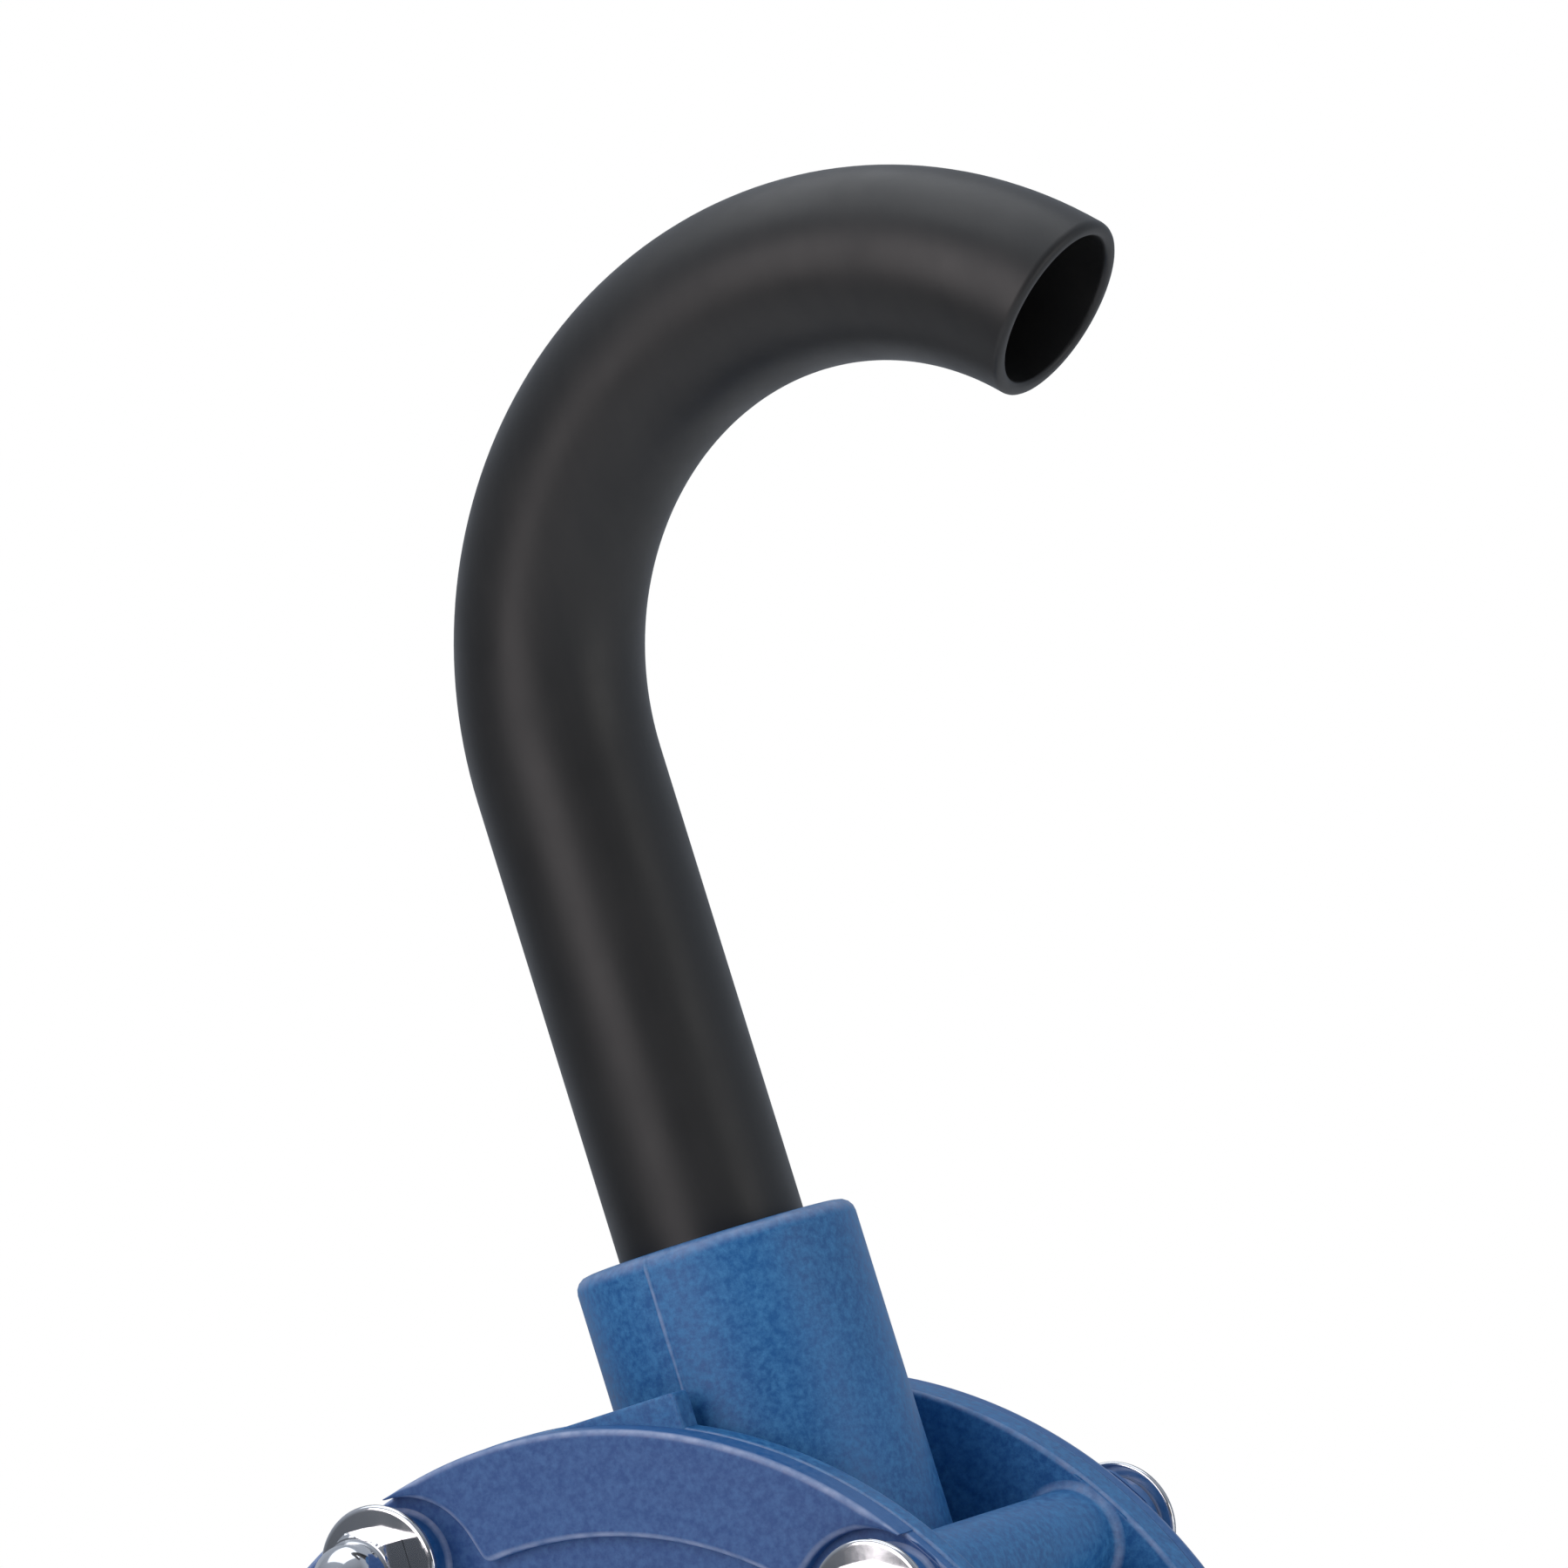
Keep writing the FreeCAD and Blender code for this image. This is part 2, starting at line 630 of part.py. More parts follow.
def make_rotor():
    """Slotted rotor, its key, the sliding vanes and the springs behind them."""
    slots = [key_space("rotor_keyway", "half_rotor + overrun"),
             rod("rotor_bore", "shaft_radius + bush_wall_play", "-half_rotor - overrun",
                 "half_rotor + overrun", "Y", CRANK)]
    vane_tip = "rotor_radius - vane_tip_inset"
    springs = []
    for number in range(VANE_COUNT):
        angle = FIRST_VANE + 360 // VANE_COUNT * number
        slots.append(radial_block(f"rotor_slot_{number}", angle, "slot_bottom", "rotor_radius + overrun",
                                  "slot_width", "-half_rotor - overrun", "half_rotor + overrun"))
        keep(f"vane_{number + 1}", radial_block(f"vane_block_{number}", angle, f"{vane_tip} - vane_width",
                                                vane_tip, "vane_thickness", "rotor_side_play - half_rotor",
                                                "half_rotor - rotor_side_play"))
        for side in ("-", ""):
            springs.append(vane_spring(f"vane_spring_{number}_{len(springs)}", angle,
                                       f"{side}spring_spacing / 2", f"{vane_tip} - vane_width"))
    blank = rod("rotor_blank", "rotor_radius", "-half_rotor", "half_rotor", "Y", CRANK)
    keep("rotor", cut("rotor_cut", blank, slots))
    keep("rotor_key", block("rotor_key_block",
                            ("crank_x - key_width / 2", "-key_length / 2", "crank_height + key_bottom"),
                            ("crank_x + key_width / 2", "key_length / 2",
                             "crank_height + key_bottom + key_height")))
    group = doc.addObject("Part::Compound", "vane_spring_group")
    group.Links = springs
    keep("vane_springs", group)


def vane_spring(name, angle, station, vane_root):
    """A closed-up spring, as a tube, between the bottom of a slot and the root of its vane."""
    pieces = []
    for part, radius, extra in (("outside", "spring_radius", "0"),
                                ("inside", "spring_radius - spring_wire", "overrun")):
        piece = doc.addObject("Part::Cylinder", f"{name}_{part}")
        piece.setExpression("Radius", bind(radius))
        piece.setExpression("Height", bind(f"{vane_root} - slot_bottom - 2 * spring_play + 2 * {extra}"))
        centre = around(CRANK, f"slot_bottom + spring_play - {extra}", angle)
        piece.Placement.Rotation = FreeCAD.Rotation(FreeCAD.Vector(0, 1, 0), 90 - angle)
        piece.setExpression("Placement.Base.x", bind(centre[0]))
        piece.setExpression("Placement.Base.y", bind(station))
        piece.setExpression("Placement.Base.z", bind(centre[2]))
        pieces.append(piece)
    return cut(name, pieces[0], [pieces[1]])


def make_crank():
    """Crank arm on the shaft's square, its washer and nut, and the grip's pin and nut."""
    pin = ("crank_x", "0", "pin_z")
    tip = "arm_width / 2"
    half = "square_side / 2 + square_play"
    solid = fuse("arm_solid", [
        rod("arm_boss", "arm_boss_radius", "arm_front", "arm_back", "Y", CRANK),
        rod("arm_tip", tip, "arm_front", "arm_back", "Y", pin),
        block("arm_bar", (f"crank_x - {tip}", "arm_front", "pin_z"),
              (f"crank_x + {tip}", "arm_back", "crank_height")),
    ])
    keep("crank_arm", cut("arm_cut", solid, [
        block("arm_square", (f"crank_x - ({half})", "arm_front - overrun", f"crank_height - ({half})"),
              (f"crank_x + {half}", "arm_back + overrun", f"crank_height + {half}")),
        rod("arm_pin_hole", "grip_pin_radius + thread_play", "arm_front - overrun", "arm_back + overrun",
            "Y", pin),
    ]))
    stud_hole = "crank_stud_radius + thread_play"
    keep("crank_washer", washer("crank_washer_body", "crank_washer_radius", stud_hole, "crank_washer_face",
                                "arm_front", CRANK))
    nut = hexagon("crank_nut_hex", "crank_nut_across_flats", "crank_nut_face", "crank_washer_face",
                  "Y", CRANK)
    keep("crank_nut", cut("crank_nut_cut", nut, [
        rod("crank_nut_thread", stud_hole, "crank_nut_face - overrun", "crank_washer_face + overrun",
            "Y", CRANK)]))
    nut_back = "arm_back + pin_nut_height"
    keep("grip_pin", turned("grip_pin_body", [
        ("0", "pin_head_back - pin_head_height"),
        ("pin_head_radius - edge_chamfer", "pin_head_back - pin_head_height"),
        ("pin_head_radius", "pin_head_back - pin_head_height + edge_chamfer"),
        ("pin_head_radius", "pin_head_back"),
        ("grip_pin_radius", "pin_head_back"),
        ("grip_pin_radius", nut_back),
        ("0", nut_back),
    ], "Y", pin))
    small_nut = hexagon("grip_nut_hex", "crank_nut_across_flats", "arm_back", nut_back, "Y", pin)
    keep("grip_nut", cut("grip_nut_cut", small_nut, [
        rod("grip_nut_thread", "grip_pin_radius + thread_play", "arm_back - overrun",
            nut_back + " + overrun", "Y", pin)]))


def make_grip():
    """Barrel-shaped grip that spins on its pin."""
    bore = "grip_pin_radius + grip_play"
    third = "grip_length / 3"
    keep("grip", turned("grip_body", [
        (bore, "grip_outer"),
        ("grip_end_radius", "grip_outer"),
        ("grip_end_radius + edge_chamfer", "grip_outer + edge_chamfer"),
        ("grip_middle_radius", f"grip_outer + {third}"),
        ("grip_middle_radius", f"grip_inner - {third}"),
        ("grip_end_radius + edge_chamfer", "grip_inner - edge_chamfer"),
        ("grip_end_radius", "grip_inner"),
        (bore, "grip_inner"),
    ], "Y", ("crank_x", "0", "pin_z")))


def make_spout():
    """Hooked spout: a straight pipe that plugs into the outlet socket, then one bend."""
    layers = []
    for layer, radius in (("outside", "tube_radius"), ("inside", "tube_radius - tube_wall")):
        straight = rod(f"spout_{layer}_straight", radius, "outlet_shoulder + end_play",
                       "outlet_end + spout_straight", "Z", PORTS)
        bend = doc.addObject("Part::Torus", f"spout_{layer}_bend")
        bend.setExpression("Radius1", bind("spout_bend_radius"))
        bend.setExpression("Radius2", bind(radius))
        bend.setExpression("Angle3", bind("spout_bend_angle"))
        bend.Placement.Rotation = FreeCAD.Rotation(FreeCAD.Vector(-1, 0, 0), FreeCAD.Vector(0, 0, 1),
                                                   FreeCAD.Vector(0, 1, 0), "XYZ")
        bend.setExpression("Placement.Base.x", bind("spout_bend_radius"))
        bend.setExpression("Placement.Base.z", bind("outlet_end + spout_straight"))
        layers.append(fuse(f"spout_{layer}", [straight, bend]))
    keep("spout", cut("spout_pipe", layers[0], [layers[1]]))


def make_port_seals():
    """Sealing rings that grip the spout and the suction tube."""
    for label, port in (("spout_seal", "outlet"), ("inlet_seal", "inlet")):
        keep(label, ring(f"{label}_ring", "port_seal_ring", "port_seal_section", "Z", PORTS,
                         PORT_SEALS[port]))


def make_bung_adapter():
    """Hexagonal adapter that screws into a drum's bung and holds the inlet socket, with its gasket."""
    solid = fuse("adapter_solid", [
        hexagon("adapter_hex", "adapter_across_flats", "adapter_base", "adapter_top", "Z", PORTS),
        rod("adapter_neck", "neck_radius", "-overrun", "adapter_base + overrun", "Z", PORTS),
        rod("adapter_thread", "bung_thread_radius", "-bung_thread_length", "0", "Z", PORTS),
    ])
    keep("bung_adapter", cut("adapter_cut", solid, [
        rod("adapter_bore", "tube_radius + adapter_bore_play", "-bung_thread_length - overrun",
            "adapter_top + overrun", "Z", PORTS),
        rod("adapter_cup", "socket_radius + adapter_cup_play", "inlet_end", "adapter_top + overrun",
            "Z", PORTS),
    ]))
    keep("bung_gasket", turned("gasket_body", [
        ("neck_radius + gasket_play", "0"),
        ("gasket_radius", "0"),
        ("gasket_radius", "adapter_base"),
        ("neck_radius + gasket_play", "adapter_base"),
    ], "Z", PORTS))


def pipe(name, radius, wall, low, high):
    """A straight pipe on the ports' axis."""
    return turned(name, [
        (f"{radius} - {wall}", low),
        (radius, low),
        (radius, high),
        (f"{radius} - {wall}", high),
    ], "Z", PORTS)


def make_suction_tube():
    """Fixed upper tube, sliding lower tube, the collar that locks them, and the strainer."""
    keep("suction_tube_upper", pipe("upper_tube_body", "tube_radius", "tube_wall", "-upper_tube_end",
                                    "inlet_shoulder - end_play"))
    keep("suction_tube_lower", pipe("lower_tube_body", "lower_tube_radius", "lower_tube_wall",
                                    "-lower_tube_end", "-lower_tube_top"))
    lower_bore = "lower_tube_radius + collar_play"
    groove_middle = "(collar_bottom - upper_tube_end) / 2"
    half = "(collar_seal_section + groove_play)"
    keep("tube_collar", turned("collar_body", [
        (lower_bore, "collar_bottom"),
        ("collar_radius - edge_chamfer", "collar_bottom"),
        ("collar_radius", "collar_bottom + edge_chamfer"),
        ("collar_radius", "collar_top - edge_chamfer"),
        ("collar_radius - edge_chamfer", "collar_top"),
        ("tube_radius + collar_play", "collar_top"),
        ("tube_radius + collar_play", "-upper_tube_end"),
        (lower_bore, "-upper_tube_end"),
        (lower_bore, f"{groove_middle} + {half}"),
        (f"{lower_bore} + 2 * collar_seal_section + groove_play", f"{groove_middle} + {half}"),
        (f"{lower_bore} + 2 * collar_seal_section + groove_play", f"{groove_middle} - {half}"),
        (lower_bore, f"{groove_middle} - {half}"),
    ], "Z", PORTS))
    keep("collar_seal", ring("collar_seal_ring", f"{lower_bore} + collar_seal_section", "collar_seal_section",
                             "Z", PORTS, groove_middle))
    bore = "lower_tube_radius + strainer_play"
    cup = turned("strainer_cup", [
        ("0", "strainer_bottom"),
        ("strainer_radius - edge_chamfer", "strainer_bottom"),
        ("strainer_radius", "strainer_bottom + edge_chamfer"),
        ("strainer_radius", "strainer_top"),
        (bore, "strainer_top"),
        (bore, "-lower_tube_end"),
        ("lower_tube_radius - lower_tube_wall", "-lower_tube_end"),
        ("lower_tube_radius - lower_tube_wall", "strainer_bottom + strainer_floor"),
        ("0", "strainer_bottom + strainer_floor"),
    ], "Z", PORTS)
    slots = []
    for number in range(STRAINER_SLOTS // 2):
        slot = doc.addObject("Part::Box", f"strainer_slot_{number}")
        angle = 360 // STRAINER_SLOTS * number
        slot.setExpression("Length", bind("2 * (strainer_radius + overrun)"))
        slot.setExpression("Width", bind("strainer_slot_width"))
        slot.setExpression("Height", bind("strainer_slot_height"))
        slot.Placement.Rotation = FreeCAD.Rotation(FreeCAD.Vector(0, 0, 1), angle)
        reach = "(strainer_radius + overrun)"
        side = "strainer_slot_width / 2"
        slot.setExpression("Placement.Base.x", bind(f"-{reach} * cos({angle}) + {side} * sin({angle})"))
        slot.setExpression("Placement.Base.y", bind(f"-{reach} * sin({angle}) - {side} * cos({angle})"))
        slot.setExpression("Placement.Base.z", bind("strainer_bottom + strainer_floor"))
        slots.append(slot)
    keep("strainer", cut("strainer_cut", cup, slots))


for make in (make_pump_body, make_front_cover, make_rear_cover, make_cover_seals, make_cover_fasteners,
             make_bearings, make_shaft, make_rotor, make_crank, make_grip, make_spout, make_port_seals,
             make_bung_adapter, make_suction_tube):
    make()
doc.recompute()

failed = [item.Name for item in doc.Objects if {"Invalid", "Error"} & set(item.State)]
empty = [item.Label for item in subparts if item.Shape.isNull() or not item.Shape.isValid()]
if failed or empty:
    raise RuntimeError(f"failed objects: {failed}, sub-parts with a bad shape: {empty}")

os.makedirs("parts", exist_ok=True)
for item in subparts:
    item.Shape.exportStep(f"parts/{item.Label}.step")
    print(f"{item.Label}: {len(item.Shape.Solids)} solids, {item.Shape.Volume:.1f} mm3")
print(f"{len(subparts)} sub-parts")
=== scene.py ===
# %% [markdown]
# # A hand rotary vane pump
# The pump is a blue moulded casing between two bolted covers.  Liquid comes up a suction tube, four
# vanes carry it round the chamber, and it leaves by a hooked black spout.  The loaded frame holds every
# part at its true size.  The cells below give each part that can be seen a surface as finished as the
# real one, and leave the frame itself as it is.

# %% Load the frame
import bpy
import bmesh
import math
import numpy as np
from mathutils import Matrix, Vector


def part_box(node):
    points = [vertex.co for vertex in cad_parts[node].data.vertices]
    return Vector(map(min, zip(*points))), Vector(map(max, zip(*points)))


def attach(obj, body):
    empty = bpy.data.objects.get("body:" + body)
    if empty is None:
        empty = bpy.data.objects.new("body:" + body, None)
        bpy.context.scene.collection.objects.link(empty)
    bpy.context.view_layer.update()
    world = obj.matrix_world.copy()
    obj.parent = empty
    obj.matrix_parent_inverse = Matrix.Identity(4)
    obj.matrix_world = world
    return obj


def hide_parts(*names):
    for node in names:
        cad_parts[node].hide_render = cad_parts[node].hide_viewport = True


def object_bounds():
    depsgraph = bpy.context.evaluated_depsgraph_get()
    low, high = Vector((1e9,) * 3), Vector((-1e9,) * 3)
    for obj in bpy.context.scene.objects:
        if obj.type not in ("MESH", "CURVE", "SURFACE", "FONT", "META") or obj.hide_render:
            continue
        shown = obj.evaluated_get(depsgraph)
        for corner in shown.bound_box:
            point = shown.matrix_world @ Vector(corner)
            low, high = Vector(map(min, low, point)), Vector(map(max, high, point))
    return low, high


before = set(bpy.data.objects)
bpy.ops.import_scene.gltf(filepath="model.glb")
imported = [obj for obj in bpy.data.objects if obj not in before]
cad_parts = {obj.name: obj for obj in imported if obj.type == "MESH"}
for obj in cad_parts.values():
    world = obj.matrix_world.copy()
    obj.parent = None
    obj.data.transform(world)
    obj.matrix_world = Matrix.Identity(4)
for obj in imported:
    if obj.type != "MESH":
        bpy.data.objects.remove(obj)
cad_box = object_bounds()

# %% [markdown]
# ## Where things are
# A maker measures before cutting.  Every length here is in millimetres, and the places come from the
# frame's own nodes: the crank's axis is the middle of the shaft, and the ports' axis is the middle of
# the suction tube.

# %% Axes and sizes
MM = 0.001


def corners_mm(name):
    """Lowest and highest corners of a node of the frame, in millimetres."""
    low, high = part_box(name)
    return np.array(low) / MM, np.array(high) / MM


shaft_low, shaft_high = corners_mm("shaft")
body_low, body_high = corners_mm("pump_body")
cover_low = corners_mm("front_cover")[0]
rear_high = corners_mm("rear_cover")[1]
upper_low, upper_high = corners_mm("suction_tube_upper")
lower_low, lower_high = corners_mm("suction_tube_lower")
collar_low, collar_high = corners_mm("tube_collar")
strainer_low, strainer_high = corners_mm("strainer")
adapter_low, adapter_high = corners_mm("bung_adapter")
spout_low, spout_high = corners_mm("spout")
washer_low, washer_high = corners_mm("front_washers")
arm_low, arm_high = corners_mm("crank_arm")
gland_low, gland_high = corners_mm("gland_nut")
grip_low, grip_high = corners_mm("grip")

crank_x, crank_z = ((shaft_low + shaft_high) / 2)[[0, 2]]
CRANK = np.array([crank_x, 0.0, crank_z])
OFF_CENTRE = 6.0
ARM_LENGTH = 115.0
CHAMBER = CRANK - [OFF_CENTRE, 0.0, 0.0]
PORTS = np.zeros(3)
PIN = CRANK - [0.0, 0.0, ARM_LENGTH]
tube_radius = upper_high[0]
print("crank axis at x, z:", CRANK[[0, 2]], "tube radius:", tube_radius)

# %% [markdown]
# ## Surfaces from arrays
# Almost every part of a pump is turned, drawn as a pipe or moulded as a slab.  Each of these is a grid of
# points worked out in one go: a closed profile carried round an axis, along a path, or up a wall.  A
# profile's corners are rounded first, because no moulded or machined edge is truly sharp, and the
# rounding is what catches the light.


# %% Profiles
def rounded(corners, radii, steps=5, margin=0.2):
    """Round the corners of a closed profile.

    A corner of half angle h gets an arc of radius r about a point r / sin(h) along its bisector, tangent
    to both sides at r / tan(h) from the corner.  A point a little outside each end of the arc keeps the
    flats beside it flat.  Returns the points, and for each how far round its arc it lies (0, 1, 0).
    """
    corners = np.asarray(corners, float)
    radii = np.broadcast_to(np.asarray(radii, float), len(corners))[:, None]
    ahead = np.roll(corners, -1, 0) - corners
    back = np.roll(corners, 1, 0) - corners
    ahead /= np.linalg.norm(ahead, axis=1, keepdims=True)
    back /= np.linalg.norm(back, axis=1, keepdims=True)
    half = 0.5 * np.arccos(np.clip((ahead * back).sum(1, keepdims=True), -1, 1))
    bisector = (ahead + back) / np.linalg.norm(ahead + back, axis=1, keepdims=True)
    centre = corners + bisector * radii / np.sin(half)
    reach = radii / np.tan(half)
    start, end = corners + back * reach - centre, corners + ahead * reach - centre
    turn = (math.pi - 2 * half)[:, None]
    share = np.linspace(0, 1, steps)[None, :, None]
    arc = np.sin((1 - share) * turn) * start[:, None] + np.sin(share * turn) * end[:, None]
    arc = centre[:, None] + arc / np.sin(turn)
    extra = np.where(radii > 0, margin, 0)
    points = np.concatenate([(corners + back * (reach + extra))[:, None], arc,
                             (corners + ahead * (reach + extra))[:, None]], 1)
    edge = np.zeros(points.shape[:2])
    edge[:, 1:-1] = np.sin(math.pi * share[0, :, 0]) * (radii > 0)
    points, edge = points.reshape(-1, 2), edge.ravel()
    fresh = np.linalg.norm(points - np.roll(points, 1, 0), axis=1) > 1e-6
    return points[fresh], edge[fresh]


def fine(points, edge, spacing):
    """Add points along a closed profile, so that none are further apart than the spacing."""
    ahead, edge_ahead = np.roll(points, -1, 0), np.roll(edge, -1)
    counts = np.maximum(np.ceil(np.linalg.norm(ahead - points, axis=1) / spacing).astype(int), 1)
    side = np.repeat(np.arange(len(points)), counts)
    share = (np.arange(len(side)) - np.repeat(np.cumsum(counts) - counts, counts)) / counts[side]
    return (points[side] + (ahead - points)[side] * share[:, None],
            edge[side] + (edge_ahead - edge)[side] * share)


def stem(radius, low, high, flare=1.6, crown=0.0):
    """Profile of a round post: flared where it grows from a wall, rounded where it ends free.

    The flat ring round the flare's foot is sunk a little into the wall, so that it never shows.
    """
    sunk = low - math.copysign(0.05, high - low)
    deep = low - math.copysign(1.0, high - low)
    wide = radius + 1.5 * flare
    foot = [[0, deep], [wide, deep], [wide, sunk], [radius, sunk]]
    if crown:
        return rounded(foot + [[radius, high], [0, high]], [0, 0, 0, flare, crown, 0])
    head = [[radius, high + low - sunk], [wide, high + low - sunk], [wide, high + low - deep],
            [0, high + low - deep]]
    return rounded(foot + head, [0, 0, 0, flare, flare, 0, 0, 0])


# %% Carrying a profile round an axis, up a wall or along a path
def lathe(profile, centre, axis="Y", turns=128, shape=None, angles=None):
    """Turn a closed profile of (radius, station) points about an axis through a centre.

    A point at angle a is the centre, plus radius * cos(a) and radius * sin(a) across the axis, plus the
    station along it.  shape(angle, radius, station) may change the radius, for flats, flutes or threads.
    """
    points, edge = profile
    angle = np.linspace(0, 2 * math.pi, turns, endpoint=False) if angles is None else angles
    angle = angle[:, None]
    station = np.broadcast_to(points[:, 1], (len(angle), len(points)))
    radius = np.broadcast_to(points[:, 0], station.shape)
    if shape is not None:
        radius = shape(angle, radius, station)
    across, up = radius * np.cos(angle), radius * np.sin(angle)
    order = (across, station, up) if axis == "Y" else (across, up, station)
    return np.stack(order, -1) + centre, np.broadcast_to(edge, station.shape), None


def slab(outline, wall, centre, share=1.0):
    """Raise a closed (x, z) outline along Y, following a wall of (inset, y) points.

    Each outline point moves inwards by its share of the inset, along its own normal.  The first and last
    rows are closed by flat caps.
    """
    outline, (wall, edge) = np.asarray(outline, float), wall
    along = np.roll(outline, -1, 0) - np.roll(outline, 1, 0)
    along /= np.linalg.norm(along, axis=1, keepdims=True)
    ahead, back = np.roll(outline, -1, 0), np.roll(outline, 1, 0)
    area = (outline[:, 0] * ahead[:, 1] - ahead[:, 0] * outline[:, 1]).sum()
    normal = np.stack([-along[:, 1], along[:, 0]], 1) * np.sign(area)
    side = (outline - back) / np.linalg.norm(outline - back, axis=1, keepdims=True)
    miter = 1 / np.clip(np.abs((side * along).sum(1)), 0.6, 1)
    inset = wall[:, :1] * np.broadcast_to(share, len(outline))[None]
    flat = outline[None] + (inset * miter)[..., None] * normal[None]
    station = np.broadcast_to(wall[:, 1:], inset.shape)
    points = np.stack([flat[..., 0], station, flat[..., 1]], -1) + centre
    return points, np.broadcast_to(edge[:, None], inset.shape), "capped"


def wall_profile(low, high, crown=0.8, steps=5):
    """Inset and station of a slab's wall: upright, with a rounded crown."""
    turn = np.linspace(0, math.pi / 2, steps)
    sign = math.copysign(1, high - low)
    top = np.stack([crown * (1 - np.cos(turn)), high - sign * crown * (1 - np.sin(turn))], 1).tolist()
    edge = [0, 0] + np.sin(2 * turn).tolist() + [0]
    return np.array([[0, low], [0, top[0][1] - sign * 0.2]] + top + [[crown + 0.3, high]]), np.array(edge)


# %% [markdown]
# ## From arrays to a mesh
# A mesh needs faces as well as points.  On a grid the faces follow from counting, so they are made as
# arrays too.  Each closed shell is measured: if its volume comes out negative, it is inside out and its
# faces are turned round.


# %% Meshes
def grid_quads(rows, columns, wrap):
    """Quads of a grid whose columns close on themselves, and whose rows do if wrap is true."""
    row = np.arange(rows if wrap else rows - 1)[:, None]
    column = np.arange(columns)[None]
    near, far = row * columns, (row + 1) % rows * columns
    beside = (column + 1) % columns
    return np.stack([near + column, far + column, far + beside, near + beside], -1).reshape(-1, 4)


def shell_faces(points, kind):
    """Faces of one shell, pointing outwards.

    The volume is a sixth of the sum of a . (b x c) over triangles fanned from each face's first corner,
    and it comes out negative when the faces point inwards.
    """
    rows, columns = points.shape[:2]
    flat = points.reshape(-1, 3)
    quads = grid_quads(rows, columns, kind is None)
    a, b, c, d = (flat[quads[:, place]] for place in range(4))
    volume = (a * (np.cross(b, c) + np.cross(c, d))).sum()
    faces = quads.tolist()
    if kind == "capped":
        for cap in (np.arange(columns), np.arange(columns)[::-1] + (rows - 1) * columns):
            rim = flat[cap]
            volume += (rim[:1] * np.cross(rim[1:-1], rim[2:])).sum()
            faces.append(cap.tolist())
    return [face[::-1] for face in faces] if volume < 0 else faces


def make_piece(name, shells, body, material, nodes=(), crease=32):
    """Join shells into one mesh object that rides on a body and stands for nodes of the frame."""
    vertices, edges, faces, count = [], [], [], 0
    for points, edge, kind in shells:
        faces += [[index + count for index in face] for face in shell_faces(points, kind)]
        vertices.append(points.reshape(-1, 3))
        edges.append(np.asarray(edge, float).ravel())
        count += len(vertices[-1])
    mesh = bpy.data.meshes.new(name)
    mesh.from_pydata((np.concatenate(vertices) * MM).tolist(), [], faces)
    mesh.attributes.new("edge", "FLOAT", "POINT").data.foreach_set("value", np.concatenate(edges))
    work = bmesh.new()
    work.from_mesh(mesh)
    bmesh.ops.remove_doubles(work, verts=work.verts, dist=1e-7)
    bmesh.ops.dissolve_degenerate(work, edges=work.edges, dist=1e-7)
    work.to_mesh(mesh)
    volume = work.calc_volume(signed=True) * 1e9
    work.free()
    mesh.shade_smooth()
    mesh.set_sharp_from_angle(angle=math.radians(crease))
    mesh.materials.append(material)
    piece = bpy.data.objects.new(name, mesh)
    bpy.context.scene.collection.objects.link(piece)
    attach(piece, body)
    if nodes:
        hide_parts(*nodes)
    print(f"{name}: {len(mesh.polygons)} faces, {volume:.0f} mm3")
    return piece


# %% [markdown]
# ## Materials
# A material starts from what the real one is and how its surface was made.  Colours are given as the
# hex values that a paint chart would use and turned to linear light once.  Patterns are sized from real
# lengths, and they read Object coordinates, which on these pieces are the true place in the pump.


# %% Colour, node and material helpers
def linear(hex_colour):
    """A hex sRGB colour as linear RGBA."""
    value = np.array([int(hex_colour[place:place + 2], 16) for place in (1, 3, 5)]) / 255
    value = np.where(value <= 0.04045, value / 12.92, ((value + 0.055) / 1.055) ** 2.4)
    return (*value.tolist(), 1.0)


def add_node(tree, kind, settings=None, sockets=None, output=None):
    """Add a node, with its settings, and each named input given a value or another node's output.

    Returns the named output, or the node itself where no output is named.
    """
    item = tree.nodes.new(kind)
    for key, value in (settings or {}).items():
        setattr(item, key, value)
    for key, value in (sockets or {}).items():
        if isinstance(value, bpy.types.NodeSocket):
            tree.links.new(value, item.inputs[key])
        else:
            item.inputs[key].default_value = value
    return item if output is None else item.outputs[output]


def start_material(name, hex_colour, roughness, metallic=0.0, settings=None):
    """A new material with its shader, its tree and Object coordinates."""
    material = bpy.data.materials.new(name)
    material.use_nodes = True
    tree = material.node_tree
    shader = tree.nodes["Principled BSDF"]
    shader.inputs["Base Color"].default_value = linear(hex_colour)
    shader.inputs["Roughness"].default_value = roughness
    shader.inputs["Metallic"].default_value = metallic
    for key, value in (settings or {}).items():
        shader.inputs[key].default_value = value
    place = add_node(tree, "ShaderNodeTexCoord", output="Object")
    return material, tree, shader, place


def per_mm(length):
    """Texture scale for a feature of this many millimetres, in Object coordinates in metres."""
    return 1.0 / (length * MM)


def finish_material(tree, shader, colour, gloss, layers):
    """Link the colour, the roughness where it varies, and a stack of bumps to the shader.

    Each layer is (height, distance in mm, strength).
    """
    tree.links.new(colour, shader.inputs["Base Color"])
    if gloss is not None:
        tree.links.new(gloss, shader.inputs["Roughness"])
    normal = None
    for height, distance, strength in layers:
        sockets = {"Height": height, "Distance": distance * MM, "Strength": strength}
        if normal is not None:
            sockets["Normal"] = normal
        normal = add_node(tree, "ShaderNodeBump", None, sockets, "Normal")
    tree.links.new(normal, shader.inputs["Normal"])


